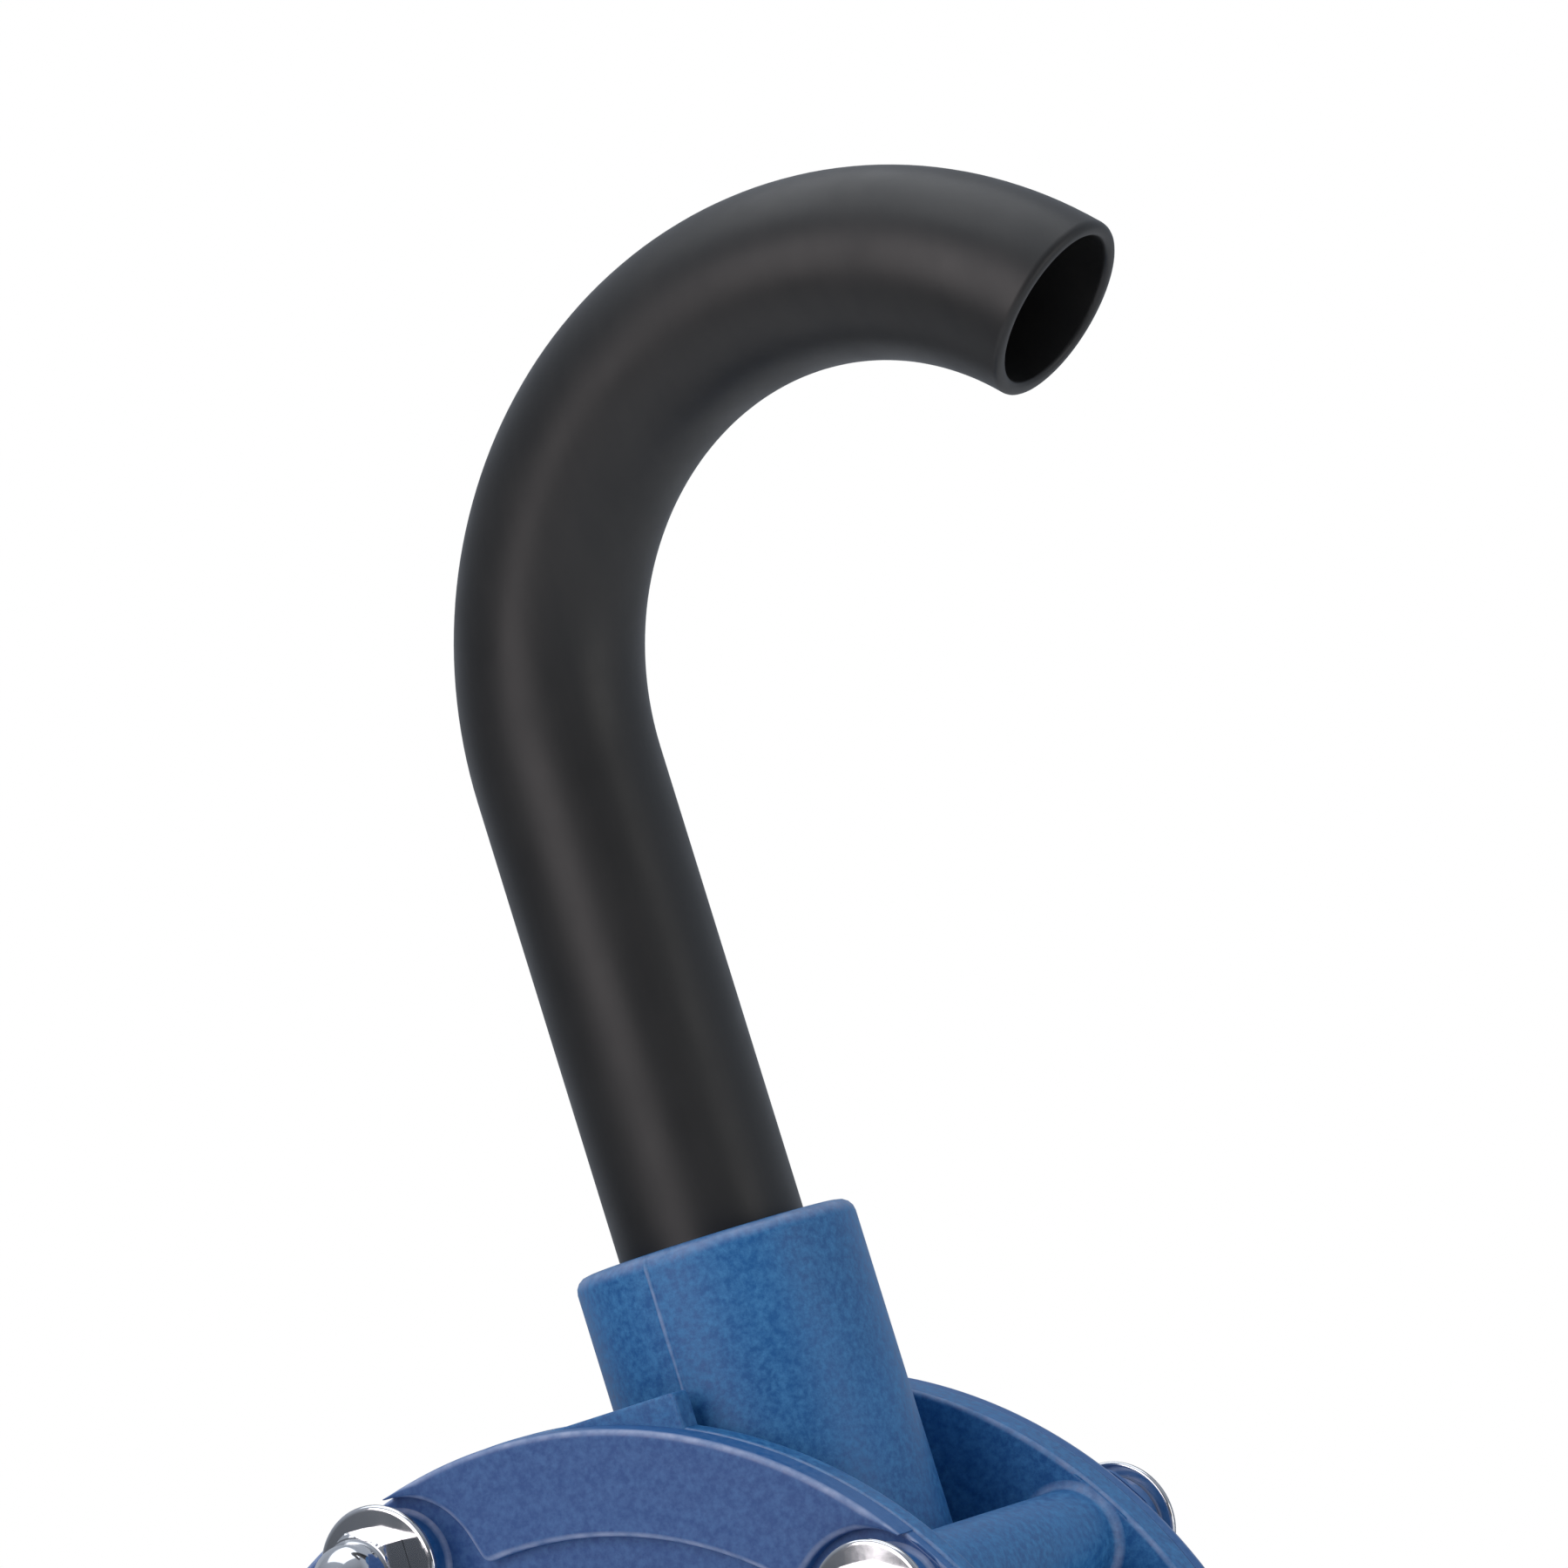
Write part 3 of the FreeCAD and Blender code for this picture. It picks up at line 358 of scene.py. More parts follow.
NOISE, MATH, RANGE, MIX = "ShaderNodeTexNoise", "ShaderNodeMath", "ShaderNodeMapRange", "ShaderNodeMix"
COLOURS = {"data_type": "RGBA"}
EVEN = 0.55

# %% [markdown]
# ### Blue polypropylene
# The casing is injection-moulded polypropylene with a little filler.  The filler shows as a fine light
# and dark mottle a millimetre or so across, and the tool's texture as a faint grain.  Rounded edges are
# painted paler, partly as the wear of handling and partly as painted highlight.  Surfaces turned along
# the crank's axis get a duller, purplish colour: painted shade standing in for the tint of the pinkish
# front light.  Covers are skimmed in a lathe where they seal, which leaves faint rings.


# %% Blue casing materials
def blue_polypropylene(name, base, light, dark, painted_axial_shade, wear_and_highlight, rings=0.0, roughness=0.46):
    """Filled polypropylene: a cloudy base, speckle, pale edges that are partly wear and partly painted
    highlight, and a painted purplish shade on surfaces turned along Y.
    """
    material, tree, shader, place = start_material(name, base, roughness)
    cloud, speckle, paling_patches, grain, swell = [
        add_node(tree, NOISE, None, {"Vector": place, "Scale": per_mm(size), "Detail": detail,
                                     "Roughness": rough}, "Fac")
        for size, detail, rough in (
            (26, 4, EVEN), (1.3, 5, 0.7), (3.5, 4, EVEN), (0.9, 3, EVEN), (9, 2, EVEN))]
    cloud = add_node(tree, RANGE, None, {"Value": cloud, "From Min": 0.35, "From Max": 0.68}, 0)
    speckle = add_node(tree, RANGE, None, {"Value": speckle, "From Min": 0.38, "From Max": 0.66}, 0)
    # A duller, purplish colour is mixed in by how nearly each surface faces along Y: painted shade standing
    # in for a tinted light, not a colour of the plastic.
    normal = add_node(tree, "ShaderNodeTexCoord", output="Normal")
    across = add_node(tree, "ShaderNodeSeparateXYZ", None, {"Vector": normal}, "Y")
    facing = add_node(tree, MATH, {"operation": "ABSOLUTE"}, {0: across}, 0)
    facing = add_node(tree, RANGE, None, {"Value": facing, "From Min": 0.75, "From Max": 0.98}, 0)
    filler = add_node(tree, MATH, {"operation": "MULTIPLY"}, {0: speckle, 1: 0.6}, 0)
    colour = add_node(tree, MIX, COLOURS, {0: cloud, 6: linear(base), 7: linear(dark)}, 2)
    colour = add_node(tree, MIX, COLOURS, {0: facing, 6: colour, 7: linear(painted_axial_shade)}, 2)
    colour = add_node(tree, MIX, COLOURS, {0: filler, 6: colour, 7: linear(light)}, 2)
    # Rounded edges are mixed towards a pale colour in patches: partly wear from handling, partly painted
    # highlight where the rounding would catch the light.
    edge = add_node(tree, "ShaderNodeAttribute", {"attribute_name": "edge"}, output="Fac")
    paling_patches = add_node(tree, RANGE, None, {"Value": paling_patches, "From Min": 0.3, "From Max": 0.7,
                                         "To Min": 0.35 * wear_and_highlight, "To Max": wear_and_highlight}, 0)
    crest = add_node(tree, MATH, {"operation": "POWER"}, {0: edge, 1: 1.6}, 0)
    worn_and_highlit = add_node(tree, MATH, {"operation": "MULTIPLY"}, {0: crest, 1: paling_patches}, 0)
    # The pale edge colour, standing for both wear and painted highlight.
    colour = add_node(tree, MIX, COLOURS, {0: worn_and_highlit, 6: colour, 7: linear("#b4bfdc")}, 2)
    gloss = add_node(tree, RANGE, None, {"Value": speckle, "To Min": roughness - 0.06,
                                         "To Max": roughness + 0.1}, 0)
    layers = [(grain, 0.05, 0.55), (swell, 0.12, 0.3)]
    if rings:
        centred = add_node(tree, "ShaderNodeMapping", None, {
            "Vector": place, "Location": (-crank_x * MM, 0, -crank_z * MM)}, 0)
        wave = add_node(tree, "ShaderNodeTexWave", {"wave_type": "RINGS", "rings_direction": "Y"}, {
            "Vector": centred, "Scale": per_mm(rings) / 20, "Distortion": 1.2, "Detail": 3,
            "Detail Scale": 2.0}, "Fac")
        layers.append((wave, 0.035, 0.5))
    finish_material(tree, shader, colour, gloss, layers)
    return material


# The fifth colour of each is the painted shade on surfaces turned along Y. The number after it sets how
# strongly rounded edges are painted pale, as wear and as painted highlight.
casing_blue = blue_polypropylene("moulded_blue_polypropylene", "#1b619f", "#4790c6", "#175690", "#1f5d99",
                                 0.45)
cover_blue = blue_polypropylene("cover_blue_polypropylene_painted_shade", "#1a62a3", "#5079ae", "#175896", "#31548e", 0.8,
                                rings=0.9)
print("blue materials ready")

# %% [markdown]
# ### Black plastics and rubber
# The spout is extruded pipe, bent warm over a former.  That leaves a smooth satin skin with faint
# lengthwise drawing lines.  Moulded black pieces are a little rougher, and rubber is duller still.


# %% Black materials
def black_plastic(name, base, light, roughness, stretch, grain):
    """Satin black plastic: drawing lines stretched along Z, with a faint grain and uneven gloss."""
    material, tree, shader, place = start_material(name, base, roughness)
    drawn = add_node(tree, "ShaderNodeMapping", None, {"Vector": place, "Scale": (1, 1, 1 / stretch)}, 0)
    streak, gloss, lines, skin = [
        add_node(tree, NOISE, None, {"Vector": vector, "Scale": per_mm(size), "Detail": detail,
                                     "Roughness": EVEN}, "Fac")
        for vector, size, detail in ((drawn, 5, 3), (place, 14, 3), (drawn, 2.5, 2), (place, grain, 2))]
    streak = add_node(tree, RANGE, None, {"Value": streak, "From Min": 0.35, "From Max": 0.7,
                                          "To Max": 0.6}, 0)
    colour = add_node(tree, MIX, COLOURS, {0: streak, 6: linear(base), 7: linear(light)}, 2)
    gloss = add_node(tree, RANGE, None, {"Value": gloss, "From Min": 0.3, "From Max": 0.7,
                                         "To Min": roughness - 0.04, "To Max": roughness + 0.06}, 0)
    finish_material(tree, shader, colour, gloss, [(lines, 0.02, 0.35), (skin, 0.012, 0.5)])
    return material


pipe_black = black_plastic("extruded_black_pipe", "#1b1b1b", "#242322", 0.43, 12, 0.7)
moulded_black = black_plastic("moulded_black_nylon", "#252526", "#303031", 0.46, 1, 1.1)
rubber_black = black_plastic("nitrile_rubber", "#1c1c1c", "#262524", 0.62, 1, 1.6)

# %% [markdown]
# ### Metals
# The bolts and cap nuts are chrome-plated: almost a mirror, with a slight unevenness from polishing.
# The crank is pressed steel with bright zinc plate, which is cloudier, and the shaft is ground.


# %% Metal materials
def plated(name, base, tint, roughness, cloud_size, wobble, ground=0.0):
    """Plated or ground metal: a tinted cloud in the colour and gloss, and a faint surface wobble."""
    material, tree, shader, place = start_material(name, base, roughness, metallic=1.0)
    cloud, ripple = [
        add_node(tree, NOISE, None, {"Vector": place, "Scale": per_mm(size), "Detail": detail,
                                     "Roughness": EVEN}, "Fac") for size, detail in ((cloud_size, 4), (4, 2))]
    cloud = add_node(tree, RANGE, None, {"Value": cloud, "From Min": 0.3, "From Max": 0.7}, 0)
    colour = add_node(tree, MIX, COLOURS, {0: cloud, 6: linear(base), 7: linear(tint)}, 2)
    gloss = add_node(tree, RANGE, None, {"Value": cloud, "To Min": roughness * 0.8,
                                         "To Max": roughness * 1.35}, 0)
    layers = [(ripple, wobble, 0.4)]
    if ground:
        turned = add_node(tree, "ShaderNodeMapping", None, {"Vector": place, "Scale": (1, 12, 1)}, 0)
        cut = add_node(tree, NOISE, None, {"Vector": turned, "Scale": per_mm(ground), "Detail": 2,
                                           "Roughness": EVEN}, "Fac")
        layers.append((cut, 0.01, 0.6))
    finish_material(tree, shader, colour, gloss, layers)
    return material


chrome_plate = plated("chrome_plate", "#e4e4e6", "#d6d8dc", 0.09, 7, 0.03)
zinc_plate = plated("bright_zinc_plate", "#c3c6ca", "#aeb2b0", 0.3, 9, 0.03)
ground_steel = plated("ground_steel", "#b9babd", "#a5a6aa", 0.24, 12, 0.01, ground=1.2)
sintered_bronze = plated("sintered_bronze", "#a98350", "#8d6a3e", 0.42, 3, 0.05)

# %% [markdown]
# ### Plastics inside the chamber
# The rotor is grey acetal and the vanes are an off-white slippery plastic.  They are only seen when the
# covers are off, and their moulding grain is fine and even.


# %% Inner plastics
def plain_plastic(name, base, light, roughness):
    """Even moulded plastic: a faint cloud in the colour and a fine grain."""
    material, tree, shader, place = start_material(name, base, roughness)
    cloud, grain = [
        add_node(tree, NOISE, None, {"Vector": place, "Scale": per_mm(size), "Detail": detail,
                                     "Roughness": EVEN}, "Fac") for size, detail in ((8, 3), (0.8, 2))]
    cloud = add_node(tree, RANGE, None, {"Value": cloud, "From Min": 0.3, "From Max": 0.7}, 0)
    colour = add_node(tree, MIX, COLOURS, {0: cloud, 6: linear(base), 7: linear(light)}, 2)
    finish_material(tree, shader, colour, None, [(grain, 0.015, 0.5)])
    return material


rotor_grey = plain_plastic("grey_acetal", "#8f908d", "#9d9e9a", 0.42)
vane_white = plain_plastic("off_white_polyethylene", "#d9d6cb", "#e4e1d8", 0.38)

# %% [markdown]
# ## The spout
# The real spout is one length of 32 mm pipe: a straight that plugs into the socket and one bend over a
# former.  Its wall is a closed profile of (radius, distance along the pipe), and the pipe's centre line
# is a straight joined by an arc, so one formula gives the outside, the bore and both cut ends.

# %% Spout
spout_start = spout_low[2]
bend_radius = 65.0
bend_angle = math.radians(137)
bend_start = spout_high[2] - tube_radius - bend_radius
spout_length = bend_start - spout_start + bend_radius * bend_angle
wall = 2.5


def bent_pipe(profile, turns=96):
    """Carry (radius, distance) points along a straight and then an arc in the XZ plane.

    Past the straight, the centre line turns by distance / bend_radius, and a point lies radius * cos(a)
    out from the bend's centre and radius * sin(a) along Y.
    """
    points, edge = profile
    angle = np.linspace(0, 2 * math.pi, turns, endpoint=False)[:, None]
    radius, distance = points[:, 0][None], points[:, 1][None]
    turn = np.clip((distance - (bend_start - spout_start)) / bend_radius, 0, None)
    rise = spout_start + np.minimum(distance, bend_start - spout_start)
    reach = bend_radius + radius * np.cos(angle)
    x = bend_radius - reach * np.cos(turn)
    z = rise + reach * np.sin(turn)
    y = radius * np.sin(angle) + 0 * distance
    return np.stack([x, y, z], -1), np.broadcast_to(edge, y.shape), None


spout_profile = fine(*rounded([[tube_radius, 0], [tube_radius, spout_length],
                               [tube_radius - wall, spout_length], [tube_radius - wall, 0]],
                              [0.8, 1.1, 0.9, 0.6]), 2.0)
make_piece("hooked_spout", [bent_pipe(spout_profile)], "spout", pipe_black, ["spout"])

# %% [markdown]
# ## The pump body
# The body is one moulding: two flanges, the barrel between them, the upright port tube, hollow bolt
# columns and thin webs in the flange's corner.  The mould opens in the plane of the ports, and leaves a
# fine ridge of flash down the port tube.  The ridge is added to the tube's radius as a narrow bell.

# %% Port tube with its parting ridge
FLANGE, COVER, PLATEAU = 88.6, 88.4, 70.6
BARREL_MIDDLE = 57.0
front_joint, rear_joint = -33.0, 34.5
socket_radius = 24.25
gap_half = 28.0
ridge_angles = np.radians([-90.0, 90.0])
near_ridge = (ridge_angles[:, None] + np.linspace(-0.04, 0.04, 21)[None]).ravel()
tube_angles = np.unique(np.round(np.concatenate([
    np.linspace(-math.pi, math.pi, 144, endpoint=False), near_ridge]), 5))


def parting_ridge(angle, radius, station):
    """Add a ridge 0.4 mm high, as a bell of 0.3 mm half width, with flash that comes and goes."""
    offset = np.min(np.abs(angle - ridge_angles[None]), axis=1, keepdims=True) * socket_radius
    flash = 0.34 + 0.10 * np.sin(station * 0.9) * np.sin(station * 0.37 + 1.3) + 0.06 * np.sin(station * 2.3)
    outside = radius > socket_radius - 1.2
    drift = 0.12 * np.sin(station * 0.21)
    return radius + np.where(outside, flash * np.exp(-((offset - np.abs(drift)) / 0.32) ** 2), 0)


port_low, port_high = body_low[2], body_high[2]


def port_half(side, corners, radii):
    """The port tube above or below the crank's axis, stopped inside the barrel's wall.

    A distance d beside its axis, the middle of the barrel's wall is sqrt(57^2 - d^2) above or below it.
    Beside the barrel the two halves meet level with the axis, with a hair of overlap.
    """
    points, edge, kind = lathe(fine(*rounded(corners, radii), 2.5), PORTS, axis="Z", shape=parting_ridge,
                               angles=tube_angles)
    proud = np.linalg.norm(points[..., :2], axis=-1) - socket_radius
    away = points[..., 0] - CHAMBER[0]
    stop = np.sqrt(np.maximum(BARREL_MIDDLE ** 2 - away ** 2, 0)) - 0.05
    points[..., 2] = crank_z + side * np.maximum(side * (points[..., 2] - crank_z), stop)
    # The parting ridge is marked as a full edge, so the material paints it pale: partly paler flash, partly a
    # painted highlight along the ridge.
    return points, np.maximum(edge, np.clip(proud / 0.3, 0, 1)), kind


upper_port = port_half(1, [[socket_radius, crank_z - 0.1], [socket_radius, port_high], [16.1, port_high],
                           [16.1, port_high - 29], [13.5, port_high - 30], [13.5, crank_z - 0.1]],
                       [0, 2.6, 0.5, 0, 0, 0])
lower_port = port_half(-1, [[socket_radius, port_low], [socket_radius, crank_z + 0.1], [13.5, crank_z + 0.1],
                            [13.5, port_low + 30], [16.1, port_low + 29], [16.1, port_low]],
                       [1.0, 0, 0, 0, 0, 0.5])

# %% Flanges, barrel, columns and webs
front_flange = lathe(rounded([[50, -gap_half], [50, front_joint], [FLANGE, front_joint],
                              [FLANGE, -gap_half]], [0, 0, 0.9, 1.0]), CRANK, turns=256)
rear_flange = lathe(rounded([[50, gap_half], [50, rear_joint], [FLANGE, rear_joint], [FLANGE, gap_half]],
                            [0, 0, 0.7, 1.0]), CRANK, turns=256)
sunk = gap_half + 0.05
barrel = lathe(rounded([[54, -30], [68, -30], [68, -sunk], [60, -sunk],
                        [60, sunk], [68, sunk], [68, 30], [54, 30]],
                       [0, 0, 0, 2.5, 2.5, 0, 0, 0]), CHAMBER, turns=192)
BOLT_RING = 78.0
HALF_STEP = math.radians(36)
BOLT_ANGLES = math.radians(35.4) + 2 * HALF_STEP * np.arange(5)
BOLTS = CRANK + BOLT_RING * np.stack([np.cos(BOLT_ANGLES), np.zeros(5), np.sin(BOLT_ANGLES)], 1)


def posts(profile):
    """One post at each bolt, with its flare cut off where it would pass the rim.

    Along a direction a from the bolt's own, the rim of radius R is sqrt(R^2 - B^2 sin^2 a) - B cos a away
    from a bolt on a circle of radius B.
    """
    shells = []
    for centre, bolt_angle in zip(BOLTS, BOLT_ANGLES):
        def inside_rim(angle, radius, station, bolt_angle=bolt_angle):
            sideways = BOLT_RING * np.sin(angle - bolt_angle)
            reach = np.sqrt((COVER - 0.3) ** 2 - sideways ** 2) - BOLT_RING * np.cos(angle - bolt_angle)
            return np.minimum(radius, reach)
        shells.append(lathe(profile, centre, turns=72, shape=inside_rim))
    return shells


columns = posts(stem(8.8, -gap_half, gap_half, flare=1.8))


def corner_web(side):
    """The thin web that fills the corner between the flange's rim and the port tube, above or below."""
    outer, inner = side * (FLANGE - 0.7), side * (FLANGE - 30)
    outline = rounded([[crank_x, crank_z + inner], [3, crank_z + inner], [3, crank_z + outer],
                       [crank_x, crank_z + outer]], [0.8, 0.8, 0.9, 0.8])[0]
    half = wall_profile(-30.5, -32.98, crown=0.45)[0]
    other = wall_profile(-30.5, -gap_half - 0.02, crown=0.45)[0][::-1]
    rows = np.concatenate([other, half])
    return slab(outline, (rows, np.full(len(rows), 0.25)), PORTS)


webs = [corner_web(1), corner_web(-1)]
make_piece("pump_body_moulding",
           [upper_port, lower_port, front_flange, rear_flange, barrel, *columns, *webs],
           "housing", casing_blue, ["pump_body"])

# %% [markdown]
# ## The front cover
# The cover is a thin plate with a raised ring broken by a recess round each bolt.  Each recess is a slot
# 29 mm wide with a round outer end that just reaches the rim, so one raised stretch is bounded by four
# curves: the rim, a recess wall at each end, and the inner circle.  Its ends run out to long thin points.
# The outline is worked out once and turned to the five places.

# %% Raised stretches of the front cover
RECESS, RECESS_RING = 14.6, 74.2
floor_y, plateau_y = -35.5, -38.5


def arc(centre, radius, start, end, step):
    """Points along an arc, with at most this many millimetres between them."""
    count = max(int(abs(end - start) * radius / step), 2)
    angle = np.linspace(start, end, count)
    return np.stack([centre[0] + radius * np.cos(angle), centre[1] + radius * np.sin(angle)], 1)


def stretch_outline():
    """Outline of the raised stretch between two bolts, 36 degrees either side of zero.

    The recess wall runs beside the bolt's radial line from the inner circle, and then round the recess's
    centre until its distance from the crank's axis equals the rim's radius.
    """
    outward = np.array([math.cos(HALF_STEP), math.sin(HALF_STEP)])
    sideways = np.array([math.sin(HALF_STEP), -math.cos(HALF_STEP)])
    inner = outward * math.sqrt(PLATEAU ** 2 - RECESS ** 2) + sideways * RECESS
    climb = math.asin((COVER ** 2 - RECESS_RING ** 2 - RECESS ** 2) / (2 * RECESS_RING * RECESS))
    wall_arc = arc(outward * RECESS_RING, RECESS, HALF_STEP - math.pi / 2,
                   HALF_STEP - math.pi / 2 + climb, 1.0)
    top_angle = math.atan2(wall_arc[-1, 1], wall_arc[-1, 0])
    low_angle = math.atan2(inner[1], inner[0])
    rim = np.delete(arc((0, 0), COVER, -top_angle, top_angle, 2.0), [1, -2], 0)
    inside = np.delete(arc((0, 0), PLATEAU, low_angle, -low_angle, 2.0), [1, -2], 0)
    climbing = wall_arc[:-2]
    points = np.concatenate([rim, climbing[::-1], inside, climbing * [1, -1]])
    turns_in = len(rim) + len(climbing)
    radii = np.zeros(len(points))
    radii[[0, len(rim) - 1]] = 0.14
    radii[[turns_in, turns_in + len(inside) - 1]] = 1.8
    return rounded(points, radii, margin=0.0)[0]


def width_share(outline):
    """How much of the crown each point may have: less where the strip beside a recess is narrow.

    At an angle a from a bolt's radial line, the recess's wall is C cos a + sqrt(r^2 - C^2 sin^2 a) from
    the axis, for a recess of radius r centred C away.  The strip is what is left between that and the rim.
    """
    beside = HALF_STEP - np.abs(np.arctan2(outline[:, 1], outline[:, 0]))
    wall_square = RECESS ** 2 - (RECESS_RING * np.sin(beside)) ** 2
    wall = RECESS_RING * np.cos(beside) + np.sqrt(np.maximum(wall_square, 0))
    strip = np.where(wall_square > 0, COVER - wall, COVER)
    return np.clip(strip / 3.8, 0.04, 1)


def turned_outline(outline, angle):
    """Turn an outline about the crank's axis."""
    cosine, sine = math.cos(angle), math.sin(angle)
    return outline @ np.array([[cosine, sine], [-sine, cosine]])


outline = stretch_outline()
plateau_wall = wall_profile(front_joint, plateau_y, crown=1.2, steps=7)
plateaus = [slab(turned_outline(outline, angle + HALF_STEP), plateau_wall, CRANK, width_share(outline))
            for angle in BOLT_ANGLES]

# %% Plate, bosses, hub and spigot of the front cover
hub_y = cover_low[1]
cover_plate = lathe(rounded([[14.1, front_joint], [14.1, hub_y], [20, hub_y], [20, floor_y],
                             [COVER - 0.25, floor_y], [COVER - 0.25, front_joint]],
                            [0, 0.5, 1.0, 3.0, 0.7, 0]), CRANK, turns=256)
spigot = lathe(rounded([[15, front_joint], [53.9, front_joint], [53.9, -gap_half], [15, -gap_half]],
                       [0, 0, 0.5, 0]), CHAMBER, turns=160)
bosses = posts(stem(8.4, floor_y, -43.0, flare=1.2, crown=0.7))
make_piece("front_cover_moulding", [cover_plate, spigot, *plateaus, *bosses],
           "housing", cover_blue, ["front_cover"])

# %% [markdown]
# ## The rear cover
# The rear cover closes the chamber's back.  It is a plain plate with a blind hub for the rear bush, five
# bosses and ribs that stiffen the plate between the bolts.

# %% Rear cover
rear_hub = rear_high[1]
rear_face = 39.5
rear_plate = lathe(rounded([[0, rear_joint], [COVER, rear_joint], [COVER, rear_face], [20, rear_face],
                            [20, rear_hub], [0, rear_hub]],
                           [0, 0, 2.8, 3.0, 1.6, 0]), CRANK, turns=256)
rear_spigot = lathe(rounded([[0, rear_joint], [53.9, rear_joint], [53.9, gap_half], [0, gap_half]],
                            [0, 0, 0.5, 0]), CHAMBER, turns=160)
rear_bosses = posts(stem(8.8, rear_face, 45.0, flare=1.3, crown=0.8))
rib_outline = rounded([[19, -2], [COVER - 8, -2], [COVER - 8, 2], [19, 2]], [0, 1.9, 1.9, 0])[0]
ribs = [slab(turned_outline(rib_outline, angle + HALF_STEP), wall_profile(39.0, 42.5, crown=0.8), CRANK)
        for angle in BOLT_ANGLES]
make_piece("rear_cover_moulding", [rear_plate, rear_spigot, *rear_bosses, *ribs],
           "housing", cover_blue, ["rear_cover"])

# %% [markdown]
# ## Bolts, washers and cap nuts
# A hexagon's flat lies at half its width from the centre, so at an angle a from the flat's middle the
# surface is that far divided by cos(a).  A nut's corners are chamfered by a cone.  The smaller of the two
# radii at each point gives the curved bite that a real nut shows on every flat.

# %% Cover fasteners
HALF_FLATS = 6.5


def hexagonal(half_flats, low, high, slope=0.55, ends=(True, True)):
    """Make a shape function for lathe: the smaller of a hexagon's radius and a chamfer cone's."""
    corner = half_flats / math.cos(math.pi / 6)

    def shape(angle, radius, station):
        flat = half_flats / np.cos((angle + math.pi / 6) % (math.pi / 3) - math.pi / 6)
        depth = np.full(station.shape, 1e3)
        if ends[0]:
            depth = np.minimum(depth, station - low)
        if ends[1]:
            depth = np.minimum(depth, high - station)
        cone = half_flats + 0.15 + np.maximum(depth, 0) / slope
        within = (station >= low - 1e-6) & (station <= high + 1e-6) & (radius > corner - 1e-3)
        return np.where(within, np.minimum(np.minimum(flat, cone), corner), radius)
    return shape


def hex_profile(half_flats, low, high, bore=0.0):
    """Profile of a hexagonal piece, with rows close together near its chamfers."""
    corner = half_flats / math.cos(math.pi / 6)
    rows = np.unique(np.concatenate([np.linspace(low, low + 1.2, 5), np.linspace(high - 1.2, high, 5)]))
    side = np.stack([np.full(len(rows), corner), rows], 1)
    points = np.concatenate([[[bore, low]], [[half_flats - 0.6, low]], side,
                             [[half_flats - 0.6, high]], [[bore, high]]])
    return points, np.zeros(len(points))


washer_front, washer_back = washer_low[1], washer_high[1]


def washer_profile(inner, outer, face, back):
    """A pressed washer: its face falls slightly towards a well rounded rim."""
    return rounded([[inner, back], [outer, back], [outer, face + 0.25 * np.sign(back - face)], [inner, face]],
                   [0.2, 0.5, 0.75, 0.3])


def cap_nut(centre):
    """Hexagon, a short round neck and a dome that is half an ellipse."""
    top = washer_front - HALF_FLATS
    neck, dome = 5.9, 6.0
    sweep = np.linspace(0, math.pi / 2, 14)
    dome_points = np.stack([neck * np.cos(sweep), top - 2.5 - dome * np.sin(sweep)], 1)
    corner = HALF_FLATS / math.cos(math.pi / 6)
    chamfer = np.linspace(top, top + 1.2, 5)
    rows = np.unique(np.concatenate([chamfer, [washer_front - 0.6, washer_front]]))[::-1]
    side = np.stack([np.full(len(rows), corner), rows], 1)
    shoulder = [[HALF_FLATS - 0.1, top - 0.01], [neck + 0.5, top - 0.05], [neck + 0.12, top - 0.35],
                [neck, top - 0.9]]
    points = np.concatenate([[[0, washer_front]], side, shoulder, dome_points])
    return lathe((points, np.zeros(len(points))), centre, turns=96,
                 shape=hexagonal(HALF_FLATS, top, washer_front, ends=(True, False)))


WASHER_BORE, WASHER_RADIUS = 4.3, 11
front_washer = washer_profile(WASHER_BORE, WASHER_RADIUS, washer_front, washer_back)
make_piece("front_washer_set", [lathe(front_washer, centre, turns=72) for centre in BOLTS],
           "housing", chrome_plate, ["front_washers"])
rear_washer_low, rear_washer_high = corners_mm("rear_washers")
rear_washer = washer_profile(WASHER_BORE, WASHER_RADIUS, rear_washer_high[1], rear_washer_low[1])
make_piece("rear_washer_set", [lathe(rear_washer, centre, turns=72) for centre in BOLTS],
           "housing", chrome_plate, ["rear_washers"])
make_piece("cap_nut_set", [cap_nut(centre) for centre in BOLTS], "housing", chrome_plate,
           ["cap_nuts"], crease=24)

# %% Bolts with chamfered heads
bolt_low, bolt_high = corners_mm("cover_bolts")
head_low = rear_washer_high[1]


def bolt(centre):
    """A hexagonal head and a plain shank."""
    head = lathe(hex_profile(HALF_FLATS, head_low, bolt_high[1]), centre, turns=96,
                 shape=hexagonal(HALF_FLATS, head_low, bolt_high[1], ends=(False, True)))
    shank = lathe(rounded([[0, bolt_low[1]], [4, bolt_low[1]], [4, head_low + 1], [0, head_low + 1]],
                          [0, 0.6, 0, 0]), centre, turns=32)
    return [head, shank]


make_piece("cover_bolt_set", [shell for centre in BOLTS for shell in bolt(centre)], "housing",
           chrome_plate, ["cover_bolts"], crease=24)

# %% [markdown]
# ## Gland nut
# The gland nut is tightened by hand, so its rim is fluted: the radius dips by a raised cosine, twenty
# times round, over the middle of its height.


